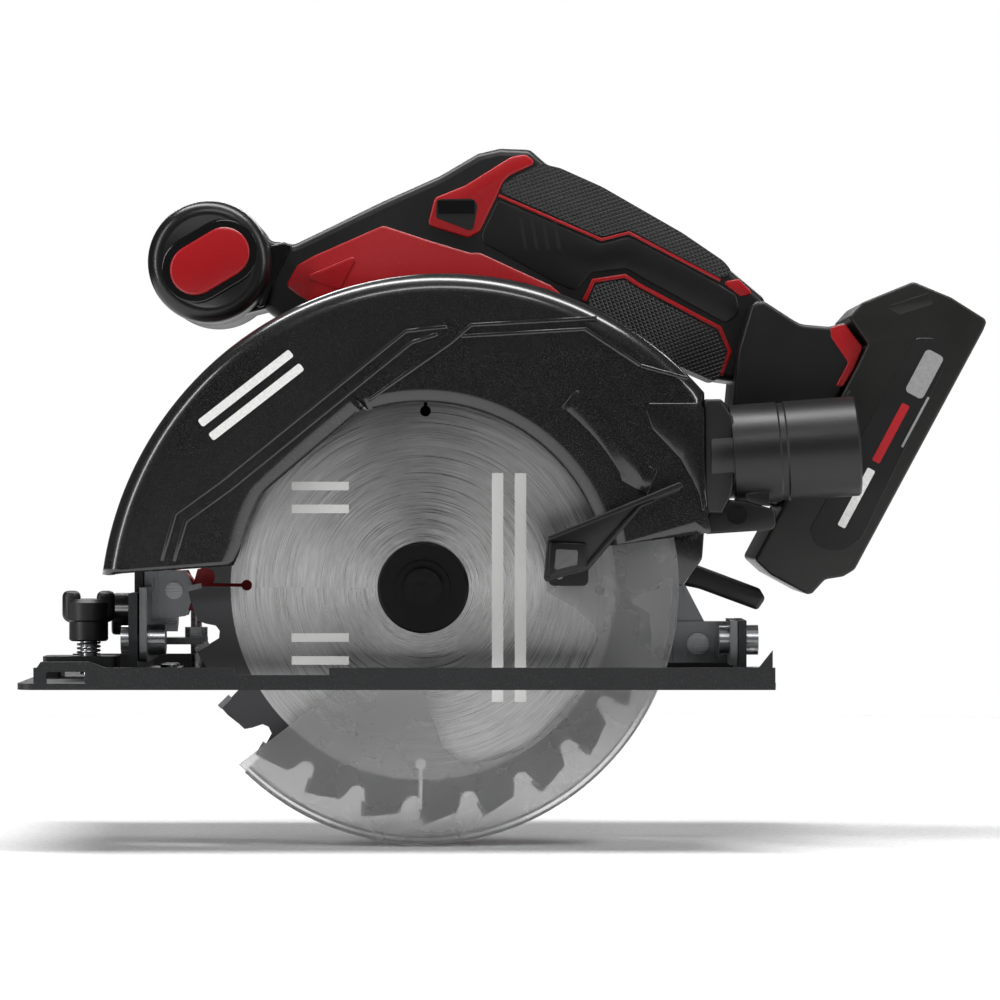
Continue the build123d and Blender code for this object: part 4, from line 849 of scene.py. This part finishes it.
def build_guard_lever():
    near = guard_near - 3.8
    web = slab("guard lever web", [(41.8, 36.2, 1.5), (43.2, 52.2, 1), (87.8, 70.8, 1.5), (89.8, 68.5, 1.5),
                                   (80.2, 64.6, 2), (76, 62.6, 4), (57, 40.2, 3)], near + 0.1, near + 2.1,
               black_nylon, 1, 0.6, 3)
    ledge_outline = [(42.8, 50.6, 0.8), (43.6, 52.4, 0.8), (89, 71.2, 1), (90.3, 69.3, 0.8), (79.5, 65.2, 2)]
    ledge = slab("guard lever ledge", ledge_outline, near - 5.8, near + 2.1, black_nylon, 0.6, 0.5, 3)
    root = slab("guard lever root", [(43.6, 35.2), (57.4, 35.2), (57.4, 48.9), (43.6, 48.9)], near + 1.5,
                -11.05, black_nylon, 2.0, 0.0)
    rim = ribbon("guard lever rib", [(43.0, 37.4), (56.2, 41.2), (64, 50.5), (75.2, 62.9), (80.4, 65.0)], 1.3,
                 near - 1.9, near + 0.5, black_nylon, 0.35)
    frame_box = slab("guard lever box", [(43.2, 37.6), (56.8, 41.2), (56.8, 50.0), (44.0, 50.6)], near - 2.0,
                     near + 0.3, black_nylon, 1.2, 0.5, 3)
    window_box = slab("guard lever window", [(45.6, 40.6), (53.6, 42.6), (53.8, 47.6), (46.2, 48.0)],
                      near - 2.08, near - 1.6, frosted, 0.8, 0.1, 1)
    place(joined("guard lever", [web, ledge, root, rim, frame_box], black_nylon), "lower_guard",
          "guard_lever")
    place(window_box, "lower_guard")


def build_wing_knob():
    # turned hub with two swept wings, moulded round the clamp screw
    x, y = -119.0, 22.5
    hub_body = lathe("fence knob hub", [(14.9, 3.1), (14.9, 6.2), (15.5, 6.9), (21.8, 6.9), (22.4, 7.6),
                                        (28.6, 7.9), (29.7, 6.8), (29.9, 4.5), (29.4, 0)], (x, y, 0), "Z",
                     black_nylon, 48)
    wings = []
    for sign in (-1, 1):
        bm = bmesh.new()
        bmesh.ops.create_cube(bm, size=1.0)
        for v in bm.verts:
            outer = v.co.x * sign > 0
            v.co.x = sign * (9.3 if outer else 3.0)
            v.co.y = (1 if v.co.y > 0 else -1) * (2.9 if outer else 4.2)
            v.co.z = 32.8 if v.co.z > 0 else (22.2 if outer else 20.5)
        bmesh.ops.translate(bm, verts=bm.verts, vec=(x, y, 0))
        bmesh.ops.scale(bm, verts=bm.verts, vec=(0.001, 0.001, 0.001))
        bmesh.ops.bevel(bm, geom=bm.edges[:], offset=0.0022, segments=4, profile=0.5, affect="EDGES",
                        material=-1)
        wings.append(finish_mesh("wing", bm, black_nylon))
    place(joined("fence knob", [hub_body] + wings, black_nylon), "fence_knob", "fence_knob")


def coil(name, centre, radius, wire, z0, z1, turns, mat):
    # round wire wound in a helix about a vertical line
    bm = bmesh.new()
    steps = turns * 28
    ring_count = 8
    rings = []
    for i in range(steps + 1):
        a = 2 * pi * turns * i / steps
        z = z0 + (z1 - z0) * i / steps
        c = Vector((centre[0] + radius * cos(a), centre[1] + radius * sin(a), z))
        out = Vector((cos(a), sin(a), 0))
        ring = []
        for k in range(ring_count):
            b = 2 * pi * k / ring_count
            ring.append(bm.verts.new((c + out * wire * cos(b) + Vector((0, 0, wire * sin(b)))) * 0.001))
        rings.append(ring)
    for a, b in zip(rings, rings[1:]):
        for k in range(ring_count):
            bm.faces.new((a[k], a[(k + 1) % ring_count], b[(k + 1) % ring_count], b[k]))
    bm.faces.new(rings[0])
    bm.faces.new(rings[-1][::-1])
    return finish_mesh(name, bm, mat)


def build_bevel_knob():
    # five deep lobes round a boss, seen edge on from the side
    y, z = 38.0, 24.2
    outline = []
    for i in range(120):
        a = 2 * pi * i / 120
        outline.append((7.35 + 0.95 * cos(6 * a)) * Vector((cos(a), sin(a))))
    bm = bmesh.new()
    ring = [bm.verts.new(Vector((-111.9, y + p.x, z + p.y)) * 0.001) for p in outline]
    face = bm.faces.new(ring)
    made = bmesh.ops.extrude_face_region(bm, geom=[face])
    for v in [v for v in made["geom"] if isinstance(v, bmesh.types.BMVert)]:
        v.co.x = -102.4 * 0.001
    bmesh.ops.recalc_face_normals(bm, faces=bm.faces)
    edges = list({e for f in bm.faces if abs(f.normal.x) > 0.9 for e in f.edges})
    bmesh.ops.bevel(bm, geom=edges, offset=0.0012, segments=3, profile=0.5, affect="EDGES", material=-1)
    place(finish_mesh("bevel knob", bm, black_nylon), "bevel_knob", "bevel_knob")


def build_depth_lever():
    bar = slab("depth lever bar", [(82, 36.5, 4), (97.5, 33.4, 10), (118.4, 25.7, 1.5), (121.2, 29.9, 2),
                                   (119.1, 33.5, 2), (97.5, 41.6, 10), (82, 48.0, 4)], 24.6, 30.4,
               black_nylon, 2, 1.6, 4)
    boss = lathe("depth lever boss", [(20.4, 3.1), (20.4, 7.8), (31.0, 7.8), (31.4, 7.2), (31.4, 3.1), (20.4,
            3.1)], (84, 0, 42), "Y", black_nylon, 40)
    place(joined("depth lever", [bar, boss], black_nylon), "depth_lever", "depth_lever")


build_dust_port()
build_guard_screw()
build_guard_lever()
build_wing_knob()
place(coil("fence spring", (-119.0, 22.5), 3.9, 0.42, 10.2, 14.4, 3, zinc), "base", "fence_spring")
build_bevel_knob()
build_depth_lever()


# ---------------- battery ----------------
def battery_outline():
    gap = 0.35
    foot_x = rail[0] - (rail[1] - 43.7) / tan(radians(battery_slope)) + gap
    return [(150.2, 129.5, 1.5), (155, 134.8, 2), (173.1, 142.2, 3), (186.5, 136.6, 3), (199.3, 128.5, 2),
            (197.8, 124.8, 2), (152.4, 40.3, 3), (148.3, 37.8, 3), (141.9, 36.8, 3), (137.3, 31.8, 1.5),
            (135.5, 31.5, 1.5), (122.6, 38.5, 3), (foot_x + 0.1, 43.9, 2), (rail[0] + gap + 0.1, rail[1], 1),
            (156.9, 119.9, 1)]


def build_battery():
    bm = slab_bmesh(rounded(battery_outline(), 2), battery_near + 0.05, battery_far - 0.05, 1.8, 4)
    body = finish_mesh("battery shell", bm, deep_nylon)
    place(body, "battery", "battery_case")
    near = battery_near
    label = slab("battery label", [(173.9, 122.2, 2), (180.4, 122.2, 3), (185.0, 117.6, 3), (184.9, 113.7, 3),
                                   (154.6, 51.2, 4), (148.6, 46.9, 4), (142.9, 46.9, 3), (138.5, 49.3, 3),
                                   (136.2, 54.2, 3)], near - 0.24, near + 0.3, label_film, 2, 0.12, 1)
    place(label, "battery", "battery_label")
    run = Vector((cos(radians(battery_slope)), sin(radians(battery_slope))))
    side = Vector((run.y, -run.x))

    def quad(u0, u1, v0, v1):
        base = Vector((143.4, 54.2))
        corners = ((u0, v0), (u1, v0), (u1, v1), (u0, v1))
        return [tuple(base + run * u + side * v) for u, v in corners]
    face = near - 0.34
    marks = [slab("mark", quad(3, 26, 1.5, 4.5), face, near, white_ink, 0.6)]
    place(joined("battery white marks", marks, white_ink), "battery")
    reds = [slab("mark", quad(29, 52, 1.5, 4.5), face, near, red_ink, 0.6)]
    place(joined("battery red marks", reds, red_ink), "battery")
    greys = [slab("mark", quad(56, 73, 0.2, 7.2), face, near, grey_ink, 1.6),
             slab("mark", quad(38, 58, 8.4, 9.2), face, near, grey_ink, 0.2)]
    place(joined("battery grey tag", greys, grey_ink), "battery")
    # raised facets near the top and a step along the dock side
    facet = slab("battery top facet", [(163.0, 133.4), (178.6, 138.6), (180.4, 134.2), (168.0, 130.2)], near,
                 near + 0.6, deep_nylon, 1.0, 0.3, 2)
    place(facet, "battery")
    steps = []
    for k in range(3):
        a = Vector((150.6, 103.5)) - run * (13.0 * k)
        steps.append(ribbon("rib", [tuple(a), tuple(a - run * 10.5)], 1.2, near - 0.3, near + 0.4,
                            deep_nylon, 0.2))
    place(joined("battery side ribs", steps, deep_nylon), "battery")


build_battery()


# ---------------- CAD nodes: finish and softened edges ----------------
def dress(names, mat, edge_mm=0.0, segments=2, smooth=32.0):
    for name in names:
        node = nodes[name]
        node.data.materials.clear()
        node.data.materials.append(mat)
        for face in node.data.polygons:
            face.use_smooth = True
            face.material_index = 0
        node.data.set_sharp_from_angle(angle=radians(smooth))
        if edge_mm:
            soft = node.modifiers.new("edges", "BEVEL")
            soft.width = edge_mm * 0.001
            soft.segments = segments
            soft.limit_method = "ANGLE"
            soft.angle_limit = radians(38)
            soft.harden_normals = True


dress(["base_plate"], base_coat, 0.7, 3)
dress(["bevel_quadrant", "rear_bevel_bracket", "fence_clamp_bridge"], base_coat, 0.3)
dress(["front_tilt_bracket", "rear_tilt_bracket", "depth_arm"], zinc_dark, 0.25)
dress(["base_rivets", "bevel_pivot_pins", "depth_pivot_pin", "depth_arm_pin", "stop_screw", "bevel_lock_bolt",
       "depth_lock_bolt", "fence_screw", "guard_lever_screws", "guard_spring", "ball_bearings"], zinc, 0.2)
dress(["gear_housing"], red_coat, 0.6)
dress(["guard_screws", "housing_screws"], oxide, 0.2)
dress(["saw_blade"], blade_steel)
dress(["carbide_tips"], carbide)
dress(["outer_flange", "inner_flange", "blade_bolt"], oxide, 0.25)
dress(["spindle", "output_gear", "pinion"], gear_metal)
dress(["rotor", "motor_can"], laminate)
dress(["battery_contacts"], copper)
dress(["motor_housing", "motor_end_cap"], black_nylon, 0.6, 3)
dress(["brush_holder", "switch_body", "cooling_fan"], deep_nylon)
dress(["trigger"], black_nylon, 1.2, 3)
dress(["lock_off_button", "spindle_lock_button", "battery_latch"], gloss_black, 0.8, 3)
dress(["lower_guard"], frosted, 0.5, 2)


# ---------------- stage, light and camera ----------------
def stage_piece(name, verts, faces, mat):
    mesh = bpy.data.meshes.new(name)
    mesh.from_pydata(verts, [], faces)
    mesh.materials.append(mat)
    thing = bpy.data.objects.new(name, mesh)
    bpy.context.scene.collection.objects.link(thing)
    return thing


def softbox(name, place_at, aim, width, height, power, colour=(1, 1, 1)):
    lamp = bpy.data.lights.new(name, "AREA")
    lamp.shape = "RECTANGLE"
    lamp.size = width
    lamp.size_y = height
    lamp.energy = power
    lamp.color = colour
    thing = bpy.data.objects.new(name, lamp)
    thing.location = place_at
    thing.rotation_euler = (Vector(aim) - Vector(place_at)).to_track_quat("-Z", "Y").to_euler()
    bpy.context.scene.collection.objects.link(thing)
    return thing


floor_mat = plastic("studio paper", "#FAFAFA", 0.85, 2.0, 0.001, spread=0.02)
floor_z = -0.0556
floor_reach = 0.95
floor_rim = [(0.03 + floor_reach * cos(radians(5 * k)), 0.03 + floor_reach * sin(radians(5 * k)), floor_z)
             for k in range(72)]
stage_piece("floor", floor_rim, [tuple(range(72))], floor_mat)

# the camera sees white paper all round; the light itself comes from a dim room and large softboxes
world = bpy.data.worlds.new("studio")
world.use_nodes = True
sky = world.node_tree
sky.nodes.clear()
room = add(sky, "Background", Color=(1.0, 1.0, 1.0, 1.0), Strength=0.07)
paper = add(sky, "Background", Color=(1.0, 1.0, 1.0, 1.0), Strength=1.0)
seen = add(sky, "LightPath").outputs["Is Camera Ray"]
sky_mix = add(sky, "MixShader", i0=seen, i1=room.outputs[0], i2=paper.outputs[0])
sky_out = add(sky, "OutputWorld")
sky.links.new(sky_mix.outputs[0], sky_out.inputs["Surface"])
bpy.context.scene.world = world

aim = (0.02, 0.0, 0.07)
softbox("top key", (0.0, -0.05, 1.15), aim, 1.5, 0.24, 17)
softbox("left strip", (-1.1, -0.75, 0.45), aim, 0.16, 1.2, 6)
softbox("right strip", (1.2, -0.6, 0.5), aim, 0.16, 1.1, 5)
softbox("front fill", (0.0, -1.9, 1.5), aim, 0.9, 0.35, 7)
softbox("back rim", (0.1, 1.2, 0.8), aim, 1.4, 0.3, 9)

camera_data = bpy.data.cameras.new("camera")
camera_data.lens = 164.7
camera_data.sensor_width = 36.0
camera_data.clip_end = 50.0
camera = bpy.data.objects.new("camera", camera_data)
camera.location = (0.02685, -1.6, 0.0649)
camera.rotation_euler = (radians(90), 0, 0)
bpy.context.scene.collection.objects.link(camera)
bpy.context.scene.camera = camera

bpy.context.scene.view_settings.view_transform = "Standard"
